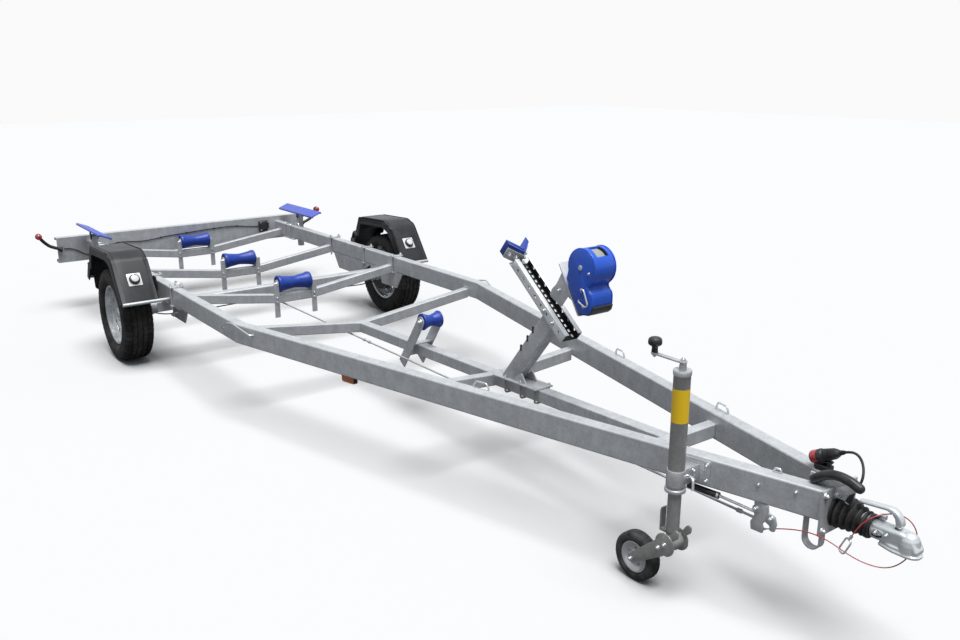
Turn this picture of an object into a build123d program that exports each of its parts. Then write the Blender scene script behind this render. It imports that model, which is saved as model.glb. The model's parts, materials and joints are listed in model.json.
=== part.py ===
"""Single-axle boat trailer with keel rollers, bilge pads, winch stand and jockey wheel.

Units are millimetres. +X points forward to the coupling, +Y to the left, +Z up. The ground is
Z = 0 and the origin is the middle of the overall length and width. Distances called "ahead" are
measured forward from the axle; ahead(...) turns one into an X coordinate.
"""
import os
from math import atan, cos, degrees, pi, radians, sin, tan

from build123d import *

# ---- driving dimensions -------------------------------------------------------------------
# main beams: parallel at the rear, one bend, then straight to the coupling
BEAM_HEIGHT = 110
BEAM_WIDTH = 60
BEAM_WALL = 4
BEAM_CORNER = 8           # outside radius of the tube's corners
BEAM_TOP = 534            # top face over the ground
FRAME_HALF_WIDTH = 842    # centre line to outer face, parallel part
HEAD_HALF_WIDTH = 82      # the same at the front end
BEAM_REAR = -1604         # distances ahead of the axle; the light bar sits on this end
BEAM_BEND = 1450
BEAM_FRONT = 4525

# cross members and backbone
CROSS_HEIGHT = 60
CROSS_WIDTH = 50
CROSS_WALL = 4
CROSS_CORNER = 6
CROSS_STEP = 49           # the cross members' ends lie this far below the beams' top
CROSS_DROP = 102          # how much lower their middle is
CROSS_FLAT = 130          # half length of the flat middle
CROSS_STATIONS = (-1510, -550, 400, 1340)
MIDDLE_CROSS_AT = 2680
FRONT_CROSS_AT = 3850
FRONT_CROSS_STEP = 39
BACKBONE_WIDTH = 60
BACKBONE_HEIGHT = 60
BACKBONE_FRONT_TOP = 462

# axle, wheels
TYRE_RADIUS = 308
TYRE_WIDTH = 195
TYRE_HEIGHT = 118         # bead to tread
TYRE_SHOULDER = 38
WHEEL_GAP = 81            # beam's outer face to the tyre
TRACK = 2 * (FRAME_HALF_WIDTH + WHEEL_GAP) + TYRE_WIDTH
RIM_RADIUS = 195          # outer edge of the flange
RIM_DISC = 8
DRUM_RADIUS = 118
DRUM_WIDTH = 62
HUB_RADIUS = 42
STUB_RADIUS = 20
STUB_NOSE = 30            # stub axle past the drum
BACKPLATE = 6
AXLE_TUBE = 70
AXLE_TUBE_AHEAD = 165
AXLE_TUBE_DROP = 24       # beam's underside to the tube's top
AXLE_SEAT = 112           # length of the blocks between the tube and the beams
AXLE_HALF_LENGTH = FRAME_HALF_WIDTH + 30
ARM_THICKNESS = 40
ARM_RADIUS = 42
BRACKET_PLATE = 8
BRACKET_DROP = 118
RUNNING = 0.1             # radial clearance of a pin in its bore
GAP = 0.4                 # clearance between pieces that only lie together
SIDE_PLAY = 1.0           # end play of rollers and wheels

# mudguards
GUARD_INNER = FRAME_HALF_WIDTH + 63
GUARD_OUTER = FRAME_HALF_WIDTH + 290
GUARD_WALL = 4
GUARD_SKIRT = 38
GUARD_STAY_RADIUS = 11

# keel rollers
ROLLER_LENGTH = 240
ROLLER_RADIUS = 57        # at the ends
ROLLER_WAIST = 44
ROLLER_AXIS = 452         # height of the rear three rollers' axis
ROLLER_PLATE = 6
ROLLER_PLATE_WIDTH = 60
ROLLER_PLATE_BOTTOM = 226
SPINDLE_RADIUS = 10
FRONT_ROLLER_LENGTH = 116
FRONT_ROLLER_RADIUS = 46
FRONT_ROLLER_WAIST = 30
FRONT_ROLLER_AHEAD = 2092
FRONT_ROLLER_AXIS = 556
FRONT_ROLLER_LEAN = 35    # degrees of its plates from upright

# bilge supports
BILGE_AHEAD = -1255
BILGE_POST_SIZE = 40
BILGE_POST_BOTTOM = 352
BILGE_PIVOT = 618
BILGE_PAD_LENGTH = 650    # along the trailer
BILGE_PAD_WIDTH = 100
BILGE_PAD_THICKNESS = 18
BILGE_PAD_HEIGHT = 660    # middle of the pad
BILGE_TILT = 22           # degrees, inner edge low
BILGE_BOLT_RADIUS = 8
BILGE_EAR = 6

# light bar
BAR_TOP = 573
BAR_HEIGHT = 198
BAR_HALF_LENGTH = FRAME_HALF_WIDTH + 220
BAR_DEPTH = 70
BAR_SHEET = 3
BAR_LIP = 22
LAMP_LENGTH = 250
LAMP_HEIGHT = 140
LAMP_PROUD = 12           # lamp's lens past the bar's rear edges

# winch stand
RAIL_SLOPE = 38.7         # degrees, falling forward
RAIL_LENGTH = 450
RAIL_WIDTH = 100
RAIL_DEPTH = 50
RAIL_SHEET = 5
RAIL_FOOT_AHEAD = 3192    # lower end of the rail's web
RAIL_FOOT_HEIGHT = 708
SLOT_LENGTH = 28
SLOT_WIDTH = 16
SLOT_PITCH = 42
POST_WIDTH = 84           # along the trailer
POST_DEPTH = 60
POST_FROM_FOOT = 131      # post's middle, measured up the rail from its lower end
POST_BASE = 8
POST_BASE_LENGTH = 320
POST_BASE_HEEL = 84       # base plate behind the post's middle line
POST_BASE_WIDTH = 110
WINCH_WIDTH = 122
WINCH_RADIUS = 86
WINCH_AHEAD = RAIL_FOOT_AHEAD + 130
WINCH_AXIS = 1068
WINCH_BOX_FRONT = WINCH_AHEAD + 69
WINCH_PLATE_SLOPE = 59
WINCH_PLATE_LENGTH = 250
WINCH_PLATE_AHEAD = WINCH_AHEAD + 11      # lower end of the plate's front face
WINCH_PLATE_HEIGHT = 866
WINCH_PLATE_SHEET = 6
BOW_ARM = 96
BOW_RUBBER = 22
BOW_STEEL = 6
BOW_HEIGHT = 62

# jack with jockey wheel
JACK_AHEAD = 4083
JACK_OUT = 293            # to the right of the centre line
JACK_RADIUS = 30
JACK_WALL = 3.5
JACK_TOP = 878
JACK_BOTTOM = 425
JACK_TRAVEL_UP = 140
JACK_TRAVEL_DOWN = 90
LEG_RADIUS = 24
FORK_PIVOT = 224          # height of the fork housing's middle
JOCKEY_RADIUS = 96
JOCKEY_WIDTH = 58
JOCKEY_TRAIL = 160
CRANK_LENGTH = 130

# coupling, overrun housing, hand brake
COUPLING_AXIS = 452
COUPLING_NOSE = 4825
COUPLING_REAR = 4662
COUPLING_WIDTH = 72
BALL_RADIUS = 25
BALL_AHEAD = 4783
BALL_DROP = 14            # ball's centre below the coupling's axis
DRAWBAR_RADIUS = 26
BELLOWS_REAR_RADIUS = 64
BELLOWS_FRONT_RADIUS = 42
BELLOWS_FOLDS = 4
BELLOWS_DEPTH = 10        # of the folds
FLANGE = 10
FLANGE_HALF_WIDTH = 98
FLANGE_BOTTOM = 378
LEVER_OUT = 48            # hand brake lever, to the right of the centre line
GRIP_RADIUS = 13

# ---- derived places ------------------------------------------------------------------------
REAR_REACH = -BEAM_REAR + BAR_DEPTH + LAMP_PROUD
AXLE_X = (REAR_REACH - COUPLING_NOSE) / 2
BEAM_BOTTOM = BEAM_TOP - BEAM_HEIGHT
TAPER = (FRAME_HALF_WIDTH - HEAD_HALF_WIDTH) / (BEAM_FRONT - BEAM_BEND)
SIDES = {"left": 1, "right": -1}


def ahead(distance):
    """X coordinate of a place this far ahead of the axle."""
    return AXLE_X + distance


def side_plane(y):
    """Plane seen from the right: its x is X, its y is Z, and it extrudes towards -Y."""
    return Plane.XZ.offset(-y)


def across(y_one, y_two):
    """Sketch plane and extrusion length of a solid between two Y coordinates."""
    return side_plane(max(y_one, y_two)), abs(y_one - y_two)


def outer_face(distance):
    """Distance from the centre line to a beam's outer face."""
    if distance <= BEAM_BEND:
        return FRAME_HALF_WIDTH
    return FRAME_HALF_WIDTH - TAPER * (distance - BEAM_BEND)


def inner_face(distance, inset=BEAM_WIDTH):
    """Distance from the centre line to a line this far inside a beam's outer face."""
    if distance <= BEAM_BEND:
        return FRAME_HALF_WIDTH - inset
    return outer_face(distance) - inset * (1 + TAPER**2) ** 0.5


def along(piece, direction):
    """A piece's edges that run roughly this way."""
    way = Vector(*direction)
    return piece.edges().filter_by(lambda edge: abs(edge.tangent_at(0.5).dot(way)) > 0.8)


def write(piece, node):
    """Label a finished piece and write it as one STEP file."""
    piece.part.label = node
    export_step(piece.part, f"parts/{node}.step")


os.makedirs("parts", exist_ok=True)


# ---- main beams ----------------------------------------------------------------------------
def beam_outline(side, outer_inset, inner_inset, overrun=0):
    """Plan of a beam between two lines inside its outer face, as corner points."""
    stations = (BEAM_REAR - overrun, BEAM_BEND, BEAM_FRONT + overrun)
    outside = [(ahead(x), side * inner_face(x, outer_inset)) for x in stations]
    inside = [(ahead(x), side * inner_face(x, inner_inset)) for x in reversed(stations)]
    return outside + inside


for name, side in SIDES.items():
    with BuildPart() as beam:
        with BuildSketch(Plane.XY.offset(BEAM_BOTTOM)):
            Polygon(*beam_outline(side, 0, BEAM_WIDTH), align=None)
        extrude(amount=BEAM_HEIGHT)
        fillet(along(beam, (1, 0, 0)), radius=BEAM_CORNER)
        with BuildSketch(Plane.XY.offset(BEAM_BOTTOM + BEAM_WALL)):
            Polygon(*beam_outline(side, BEAM_WALL, BEAM_WIDTH - BEAM_WALL, 1), align=None)
        extrude(amount=BEAM_HEIGHT - 2 * BEAM_WALL, mode=Mode.SUBTRACT)
    write(beam, f"{name}_beam")

# ---- cross members -------------------------------------------------------------------------
with BuildPart() as between_beams:
    stations = (BEAM_REAR, BEAM_BEND, BEAM_FRONT)
    left_edge = [(ahead(x), inner_face(x)) for x in stations]
    with BuildSketch(Plane.XY):
        Polygon(*left_edge, *[(x, -y) for x, y in reversed(left_edge)], align=None)
    extrude(amount=BEAM_TOP)


def cross_profile(flat, end_top, drop, inset):
    """Front view of a shallow V tube, inset from its faces, as corner points."""
    reach = FRAME_HALF_WIDTH
    top = [(-reach, end_top - inset), (-flat, end_top - drop - inset)]
    top += [(flat, end_top - drop - inset), (reach, end_top - inset)]
    rise = CROSS_HEIGHT - 2 * inset
    return top + [(y, z - rise) for y, z in reversed(top)]


def cross_tube(station, flat, end_top, drop):
    """A V tube across the frame, trimmed to the beams' inner faces."""
    with BuildPart() as tube:
        with BuildSketch(Plane.YZ.offset(ahead(station) - CROSS_WIDTH / 2)):
            Polygon(*cross_profile(flat, end_top, drop, 0), align=None)
        extrude(amount=CROSS_WIDTH)
        fillet(along(tube, (0, 1, 0)), radius=CROSS_CORNER)
        with BuildSketch(Plane.YZ.offset(ahead(station) - CROSS_WIDTH / 2 + CROSS_WALL)):
            Polygon(*cross_profile(flat, end_top, drop, CROSS_WALL), align=None)
        extrude(amount=CROSS_WIDTH - 2 * CROSS_WALL, mode=Mode.SUBTRACT)
        add(between_beams.part, mode=Mode.INTERSECT)
    return tube


CROSS_END_TOP = BEAM_TOP - CROSS_STEP
with BuildPart() as cross_tubes:
    for station in CROSS_STATIONS:
        last = station == CROSS_STATIONS[-1]
        flat = BACKBONE_WIDTH / 2 if last else CROSS_FLAT
        add(cross_tube(station, flat, CROSS_END_TOP, CROSS_DROP).part)
write(cross_tubes, "cross_tubes")

with BuildPart() as front_cross:
    front_cross_top = BEAM_TOP - FRONT_CROSS_STEP
    with BuildSketch(Plane.XY.offset(front_cross_top - CROSS_HEIGHT)):
        with Locations((ahead(FRONT_CROSS_AT), 0)):
            Rectangle(CROSS_WIDTH, 2 * FRAME_HALF_WIDTH)
    extrude(amount=CROSS_HEIGHT)
    fillet(along(front_cross, (0, 1, 0)), radius=CROSS_CORNER)
    add(between_beams.part, mode=Mode.INTERSECT)
write(front_cross, "front_cross_tube")

# ---- backbone ------------------------------------------------------------------------------
BACKBONE_REAR = CROSS_STATIONS[-1] + CROSS_WIDTH / 2
BACKBONE_FRONT = FRONT_CROSS_AT - CROSS_WIDTH / 2
BACKBONE_REAR_TOP = CROSS_END_TOP - CROSS_DROP
BACKBONE_RISE = (BACKBONE_FRONT_TOP - BACKBONE_REAR_TOP) / (BACKBONE_FRONT - BACKBONE_REAR)


def backbone_top(distance):
    """Height of the backbone's top face."""
    return BACKBONE_REAR_TOP + BACKBONE_RISE * (distance - BACKBONE_REAR)


def backbone_profile(inset, overrun=0):
    """Side view of the backbone, inset from its faces, as corner points."""
    ends = (BACKBONE_REAR - overrun, BACKBONE_FRONT + overrun)
    top = [(ahead(x), backbone_top(x) - inset) for x in ends]
    return top + [(x, z - BACKBONE_HEIGHT + 2 * inset) for x, z in reversed(top)]


with BuildPart() as backbone:
    with BuildSketch(side_plane(0)):
        Polygon(*backbone_profile(0), align=None)
    extrude(amount=BACKBONE_WIDTH / 2, both=True)
    fillet(along(backbone, (1, 0, 0)), radius=CROSS_CORNER)
    with BuildSketch(side_plane(0)):
        Polygon(*backbone_profile(CROSS_WALL, 1), align=None)
    extrude(amount=BACKBONE_WIDTH / 2 - CROSS_WALL, both=True, mode=Mode.SUBTRACT)
write(backbone, "backbone")

with BuildPart() as backbone_envelope:
    with BuildSketch(side_plane(0)):
        Polygon(*backbone_profile(-CROSS_HEIGHT, 1), align=None)
    extrude(amount=BACKBONE_WIDTH / 2, both=True)

middle_drop = CROSS_END_TOP - backbone_top(MIDDLE_CROSS_AT)
middle_cross = cross_tube(MIDDLE_CROSS_AT, BACKBONE_WIDTH / 2, CROSS_END_TOP, middle_drop)
with BuildPart() as middle_arms:
    add(middle_cross.part)
    add(backbone_envelope.part, mode=Mode.SUBTRACT)
write(middle_arms, "middle_cross_arms")

# ---- axle ----------------------------------------------------------------------------------
AXLE_TUBE_Z = BEAM_BOTTOM - AXLE_TUBE_DROP - AXLE_TUBE / 2
WHEEL_OUT = TRACK / 2
ARM_INNER = AXLE_HALF_LENGTH
BACKPLATE_END = ARM_INNER + ARM_THICKNESS + BACKPLATE
DRUM_INNER = BACKPLATE_END + SIDE_PLAY
STUB_END = DRUM_INNER + DRUM_WIDTH + STUB_NOSE
SEAT_MIDDLE = FRAME_HALF_WIDTH - BEAM_WIDTH / 2

with BuildPart() as axle:
    plane, length = across(-AXLE_HALF_LENGTH, AXLE_HALF_LENGTH)
    with BuildSketch(plane):
        with Locations((ahead(AXLE_TUBE_AHEAD), AXLE_TUBE_Z)):
            RectangleRounded(AXLE_TUBE, AXLE_TUBE, AXLE_TUBE / 6)
    extrude(amount=length)
    for side in SIDES.values():
        with Locations((ahead(AXLE_TUBE_AHEAD), side * SEAT_MIDDLE, BEAM_BOTTOM)):
            Box(AXLE_SEAT, BEAM_WIDTH, AXLE_TUBE_DROP + AXLE_TUBE / 4,
                align=(Align.CENTER, Align.CENTER, Align.MAX))
        plane, length = across(side * ARM_INNER, side * (ARM_INNER + ARM_THICKNESS))
        with BuildSketch(plane):
            with Locations((ahead(AXLE_TUBE_AHEAD), AXLE_TUBE_Z), (ahead(0), TYRE_RADIUS)):
                Circle(ARM_RADIUS)
            make_hull()
        extrude(amount=length)
        for radius, end in ((DRUM_RADIUS, BACKPLATE_END), (STUB_RADIUS, STUB_END)):
            plane, length = across(side * (ARM_INNER + ARM_THICKNESS), side * end)
            with BuildSketch(plane):
                with Locations((ahead(0), TYRE_RADIUS)):
                    Circle(radius)
            extrude(amount=length)
write(axle, "axle")

# bracket plates under each beam: a long one behind the axle tube, a short one ahead of it
# columns: ahead at the beam, ahead at the lower edge
seat_rear = AXLE_TUBE_AHEAD - AXLE_SEAT / 2 - GAP
seat_front = AXLE_TUBE_AHEAD + AXLE_SEAT / 2 + GAP
REAR_PLATE = ((-490, -410), (seat_rear, -110))
FRONT_PLATE = ((seat_front, 262), (550, 470))
with BuildPart() as axle_brackets:
    for side in SIDES.values():
        for rear_edge, front_edge in (REAR_PLATE, FRONT_PLATE):
            plane, length = across(side * (FRAME_HALF_WIDTH - BEAM_WIDTH + BRACKET_PLATE),
                                   side * (FRAME_HALF_WIDTH - BEAM_WIDTH))
            low = BEAM_BOTTOM - BRACKET_DROP
            corners = [(rear_edge[0], BEAM_BOTTOM), (rear_edge[1], low)]
            corners += [(front_edge[1], low), (front_edge[0], BEAM_BOTTOM)]
            with BuildSketch(plane):
                Polygon(*[(ahead(x), z) for x, z in corners], align=None)
            extrude(amount=length)
            with Locations((ahead((rear_edge[0] + front_edge[0]) / 2), side * SEAT_MIDDLE,
                            BEAM_BOTTOM)):
                Box(front_edge[0] - rear_edge[0], BEAM_WIDTH, BRACKET_PLATE,
                    align=(Align.CENTER, Align.CENTER, Align.MAX))
write(axle_brackets, "axle_brackets")


# ---- wheels --------------------------------------------------------------------------------
def revolved_wheel(profile, side):
    """Turn a profile of (distance outward from the wheel's middle, radius) about the axle."""
    centre_line = Axis((ahead(0), 0, TYRE_RADIUS), (0, 1, 0))
    points = [(side * (WHEEL_OUT + out), TYRE_RADIUS + radius) for out, radius in profile]
    with BuildPart() as turned:
        with BuildSketch(Plane.YZ.offset(ahead(0))):
            Polygon(*points, align=None)
        revolve(axis=centre_line)
    return turned


RIM_HALF = TYRE_WIDTH / 2 - 22          # rim's half width between its outer faces
BEAD_RADIUS = TYRE_RADIUS - TYRE_HEIGHT
WELL_RADIUS = BEAD_RADIUS - 24
RIM_SHEET = 5
RIM_OFFSET = 24                         # disc's mounting face outward of the wheel's middle
DRUM_MIDDLE = DRUM_INNER - WHEEL_OUT    # drum's inner face from the wheel's middle
BORE = STUB_RADIUS + RUNNING
CAP_RADIUS = 30
CAP_LENGTH = 26

rim_profile = [
    (DRUM_MIDDLE, BORE),
    (DRUM_MIDDLE, DRUM_RADIUS),
    (DRUM_MIDDLE + DRUM_WIDTH, DRUM_RADIUS),
    (DRUM_MIDDLE + DRUM_WIDTH, HUB_RADIUS + RIM_SHEET),
    (RIM_OFFSET - RIM_DISC, HUB_RADIUS + RIM_SHEET),
    (RIM_OFFSET - RIM_DISC, WELL_RADIUS - 2 * RIM_SHEET),
    (-RIM_OFFSET, WELL_RADIUS - RIM_SHEET),
    (-RIM_HALF, BEAD_RADIUS - RIM_SHEET),
    (-RIM_HALF, RIM_RADIUS),
    (-RIM_HALF + RIM_SHEET, RIM_RADIUS),
    (-RIM_HALF + RIM_SHEET, BEAD_RADIUS),
    (-RIM_OFFSET, WELL_RADIUS),
    (RIM_OFFSET, WELL_RADIUS),
    (RIM_HALF - RIM_SHEET, BEAD_RADIUS),
    (RIM_HALF - RIM_SHEET, RIM_RADIUS),
    (RIM_HALF, RIM_RADIUS),
    (RIM_HALF, BEAD_RADIUS - RIM_SHEET),
    (RIM_OFFSET + RIM_SHEET, WELL_RADIUS - RIM_SHEET),
    (RIM_OFFSET, WELL_RADIUS - 2 * RIM_SHEET),
    (RIM_OFFSET, HUB_RADIUS),
    (RIM_OFFSET + CAP_LENGTH, CAP_RADIUS),
    (RIM_OFFSET + CAP_LENGTH, 0),
    (STUB_END - WHEEL_OUT + SIDE_PLAY, 0),
    (STUB_END - WHEEL_OUT + SIDE_PLAY, BORE),
]
SEAT = RIM_HALF - RIM_SHEET - GAP
SIDEWALL = TYRE_WIDTH / 2
tyre_profile = [
    (-SEAT, BEAD_RADIUS + GAP),
    (-SEAT, RIM_RADIUS + GAP),
    (-SIDEWALL + 4, RIM_RADIUS + TYRE_SHOULDER / 2),
    (-SIDEWALL, RIM_RADIUS + TYRE_SHOULDER),
    (-SIDEWALL + 3, TYRE_RADIUS - TYRE_SHOULDER),
    (-SIDEWALL + 12, TYRE_RADIUS - TYRE_SHOULDER / 3),
    (-SIDEWALL + TYRE_SHOULDER * 0.7, TYRE_RADIUS - 2),
    (-SIDEWALL + TYRE_SHOULDER * 1.3, TYRE_RADIUS),
]
tyre_profile += [(-out, radius) for out, radius in reversed(tyre_profile)]

for name, side in SIDES.items():
    write(revolved_wheel(rim_profile, side), f"{name}_rim")
    write(revolved_wheel(tyre_profile, side), f"{name}_tyre")

# ---- mudguards -----------------------------------------------------------------------------
# columns: ahead of the axle, height; the arch from its rear lower edge to its front lower edge
GUARD_ARCH = ((-436, 498), (-372, 604), (-332, 604), (-284, 726), (96, 742), (188, 706), (362, 462))


def guard_wedge(inset):
    """Side view of the space under the arch, drawn in towards the axle by inset."""
    corners = []
    for x, z in GUARD_ARCH:
        radius = (x**2 + (z - TYRE_RADIUS) ** 2) ** 0.5
        shrink = 1 - inset / radius
        corners.append((ahead(x * shrink), TYRE_RADIUS + (z - TYRE_RADIUS) * shrink))
    return corners + [(ahead(0), TYRE_RADIUS)]


for name, side in SIDES.items():
    with BuildPart() as mudguard:
        # columns: inset of the wedge, inner and outer end, added or cut
        for inset, inner, outer, mode in (
            (0, GUARD_INNER, GUARD_OUTER, Mode.ADD),
            (GUARD_WALL, GUARD_INNER + GUARD_WALL, GUARD_OUTER - GUARD_WALL, Mode.SUBTRACT),
            (GUARD_SKIRT, GUARD_INNER - 1, GUARD_OUTER + 1, Mode.SUBTRACT),
        ):
            plane, length = across(side * inner, side * outer)
            with BuildSketch(plane):
                Polygon(*guard_wedge(inset), align=None)
            extrude(amount=length, mode=mode)
    write(mudguard, f"{name}_mudguard")

# stays: tubes from the beam's outer face out under the mudguard's two lower edges
with BuildPart() as mudguard_stays:
    for side in SIDES.values():
        plane, length = across(side * FRAME_HALF_WIDTH, side * (GUARD_OUTER - GUARD_WALL))
        with BuildSketch(plane):
            for x, z in (GUARD_ARCH[0], GUARD_ARCH[-1]):
                # square to the guard's lower edge, which points at the axle
                rise = z - TYRE_RADIUS
                off = (GUARD_STAY_RADIUS + GAP) / (x**2 + rise**2) ** 0.5
                with Locations((ahead(x * (1 + off * rise / abs(x))), z - off * abs(x))):
                    Circle(GUARD_STAY_RADIUS)
        extrude(amount=length)
write(mudguard_stays, "mudguard_stays")

# white marker lamps on the front slope of each mudguard
MARKER_RADIUS = 30
MARKER_DEPTH = 26
MARKER_OUT = (GUARD_INNER + GUARD_OUTER) / 2
slope_top, slope_foot = GUARD_ARCH[-2], GUARD_ARCH[-1]
slope_angle = degrees(atan((slope_top[1] - slope_foot[1]) / (slope_foot[0] - slope_top[0])))
slope_middle = ((slope_top[0] + slope_foot[0]) / 2, (slope_top[1] + slope_foot[1]) / 2)
with BuildPart() as marker_lamps:
    for side in SIDES.values():
        face = Plane(
            origin=(ahead(slope_middle[0]), side * MARKER_OUT, slope_middle[1]),
            x_dir=(0, 1, 0),
            z_dir=(sin(radians(slope_angle)), 0, cos(radians(slope_angle))),
        )
        with BuildSketch(face.offset(GAP)):
            RectangleRounded(3 * MARKER_RADIUS, 3 * MARKER_RADIUS, MARKER_RADIUS / 4)
        extrude(amount=BAR_SHEET)
        with BuildSketch(face.offset(BAR_SHEET)):
            Circle(MARKER_RADIUS)
        extrude(amount=MARKER_DEPTH)
write(marker_lamps, "marker_lamps")

# ---- keel rollers --------------------------------------------------------------------------
def keel_roller(station, height, length, radius, waist, node):
    """An hourglass roller with a bore for its spindle."""
    cheek = length / 10
    with BuildPart() as roller:
        with BuildSketch(Plane.YZ.offset(ahead(station))):
            with BuildLine():
                bore_height = height + SPINDLE_RADIUS + RUNNING
                Polyline(
                    (-length / 2 + cheek, height + radius),
                    (-length / 2, height + radius),
                    (-length / 2, bore_height),
                    (length / 2, bore_height),
                    (length / 2, height + radius),
                    (length / 2 - cheek, height + radius),
                )
                ThreePointArc(
                    (length / 2 - cheek, height + radius),
                    (0, height + waist),
                    (-length / 2 + cheek, height + radius),
                )
            make_face()
        revolve(axis=Axis((ahead(station), 0, height), (0, 1, 0)))
    write(roller, node)


ROLLER_HALF = ROLLER_LENGTH / 2 + SIDE_PLAY
CROSS_MIDDLE_TOP = CROSS_END_TOP - CROSS_DROP
with BuildPart() as roller_brackets:
    for station in CROSS_STATIONS[:-1]:
        # spindle from plate to plate
        plane, length = across(-ROLLER_HALF - ROLLER_PLATE, ROLLER_HALF + ROLLER_PLATE)
        with BuildSketch(plane):
            with Locations((ahead(station), ROLLER_AXIS)):
                Circle(SPINDLE_RADIUS)
        extrude(amount=length)
        cross_front = station + CROSS_WIDTH / 2
        for side in SIDES.values():
            # ear above the cross tube, then the upright on the tube's front face
            plane, length = across(side * ROLLER_HALF, side * (ROLLER_HALF + ROLLER_PLATE))
            with BuildSketch(plane):
                with Locations((ahead(station), ROLLER_AXIS)):
                    Circle(ROLLER_PLATE_WIDTH / 2)
                with Locations((ahead(cross_front + ROLLER_PLATE - ROLLER_PLATE_WIDTH / 2),
                                (ROLLER_AXIS + CROSS_MIDDLE_TOP + GAP) / 2)):
                    Rectangle(ROLLER_PLATE_WIDTH, ROLLER_AXIS - CROSS_MIDDLE_TOP - GAP)
            extrude(amount=length)
            upright_width = ROLLER_PLATE_WIDTH * 0.6
            with Locations((ahead(cross_front), side * ROLLER_HALF, ROLLER_PLATE_BOTTOM)):
                Box(ROLLER_PLATE, upright_width, ROLLER_AXIS - ROLLER_PLATE_BOTTOM,
                    align=(Align.MIN, Align.MIN if side > 0 else Align.MAX, Align.MIN))
write(roller_brackets, "roller_brackets")

for number, station in enumerate(CROSS_STATIONS[:-1], start=1):
    keel_roller(station, ROLLER_AXIS, ROLLER_LENGTH, ROLLER_RADIUS, ROLLER_WAIST,
                f"keel_roller_{number}")
keel_roller(FRONT_ROLLER_AHEAD, FRONT_ROLLER_AXIS, FRONT_ROLLER_LENGTH, FRONT_ROLLER_RADIUS,
            FRONT_ROLLER_WAIST, "keel_roller_4")

# front roller: two leaning plates tied by bars over and under the backbone
lean = radians(FRONT_ROLLER_LEAN)
FRONT_PLATE_INNER = FRONT_ROLLER_LENGTH / 2 + SIDE_PLAY
FRONT_PLATE_LENGTH = 345
with BuildPart() as front_roller_bracket:
    plane, length = across(-FRONT_PLATE_INNER, FRONT_PLATE_INNER)
    with BuildSketch(plane):
        with Locations((ahead(FRONT_ROLLER_AHEAD), FRONT_ROLLER_AXIS)):
            Circle(SPINDLE_RADIUS)
        # where the plates' middle line crosses the backbone
        drop = FRONT_ROLLER_AXIS - backbone_top(FRONT_ROLLER_AHEAD)
        crossing = FRONT_ROLLER_AHEAD - drop * tan(lean)
        tie_width = ROLLER_PLATE_WIDTH * 0.7
        tie_lift = ROLLER_PLATE / 2 + BACKBONE_RISE * tie_width / 2 + GAP
        for offset in (tie_lift, -BACKBONE_HEIGHT - tie_lift):
            tie_x = crossing + offset * tan(lean)
            with Locations((ahead(tie_x), backbone_top(tie_x) + offset)):
                Rectangle(tie_width, ROLLER_PLATE)
    extrude(amount=length)
    for side in SIDES.values():
        plane, length = across(side * FRONT_PLATE_INNER, side * (FRONT_PLATE_INNER + ROLLER_PLATE))
        with BuildSketch(plane):
            with Locations((ahead(FRONT_ROLLER_AHEAD), FRONT_ROLLER_AXIS)):
                Circle(ROLLER_PLATE_WIDTH / 2)
            middle = FRONT_PLATE_LENGTH / 2
            with Locations(Location((ahead(FRONT_ROLLER_AHEAD - middle * sin(lean)),
                                     FRONT_ROLLER_AXIS - middle * cos(lean), 0),
                                    (0, 0, -FRONT_ROLLER_LEAN))):
                Rectangle(ROLLER_PLATE_WIDTH, FRONT_PLATE_LENGTH)
        extrude(amount=length)
write(front_roller_bracket, "front_roller_bracket")

# ---- bilge supports ------------------------------------------------------------------------
POST_OUT = FRAME_HALF_WIDTH + BILGE_POST_SIZE / 2
with BuildPart() as bilge_posts:
    for side in SIDES.values():
        with Locations((ahead(BILGE_AHEAD), side * POST_OUT, BILGE_POST_BOTTOM)):
            Box(BILGE_POST_SIZE, BILGE_POST_SIZE, BILGE_PIVOT - BILGE_POST_BOTTOM,
                align=(Align.CENTER, Align.CENTER, Align.MIN))
        plane, length = across(side * POST_OUT - BILGE_POST_SIZE / 2,
                               side * POST_OUT + BILGE_POST_SIZE / 2)
        with BuildSketch(plane):
            with Locations((ahead(BILGE_AHEAD), BILGE_PIVOT)):
                Circle(BILGE_POST_SIZE / 2)
        extrude(amount=length)
        bolt = BILGE_POST_SIZE / 2 + SIDE_PLAY + BILGE_EAR + GAP
        plane, length = across(side * POST_OUT - bolt, side * POST_OUT + bolt)
        with BuildSketch(plane):
            with Locations((ahead(BILGE_AHEAD), BILGE_PIVOT)):
                Circle(BILGE_BOLT_RADIUS)
        extrude(amount=length)
write(bilge_posts, "bilge_posts")

for name, side in SIDES.items():
    with BuildPart() as pad:
        tilted = Plane(
            origin=(ahead(BILGE_AHEAD), side * POST_OUT, BILGE_PAD_HEIGHT),
            x_dir=(1, 0, 0),
            z_dir=(0, -side * sin(radians(BILGE_TILT)), cos(radians(BILGE_TILT))),
        )
        with BuildSketch(tilted.offset(-BILGE_PAD_THICKNESS / 2)):
            RectangleRounded(BILGE_PAD_LENGTH, BILGE_PAD_WIDTH, BILGE_PAD_THICKNESS)
        extrude(amount=BILGE_PAD_THICKNESS)
        for face in (-1, 1):
            near = side * POST_OUT + face * (BILGE_POST_SIZE / 2 + SIDE_PLAY)
            plane, length = across(near, near + face * BILGE_EAR)
            with BuildSketch(plane):
                with Locations((ahead(BILGE_AHEAD), BILGE_PIVOT)):
                    Circle(BILGE_POST_SIZE / 2)
                    Rectangle(BILGE_POST_SIZE, BILGE_PAD_HEIGHT - BILGE_PIVOT,
                              align=(Align.CENTER, Align.MIN))
                with Locations((ahead(BILGE_AHEAD), BILGE_PIVOT)):
                    Circle(BILGE_BOLT_RADIUS + RUNNING, mode=Mode.SUBTRACT)
            extrude(amount=length)
    write(pad, f"{name}_bilge_pad")

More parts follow.
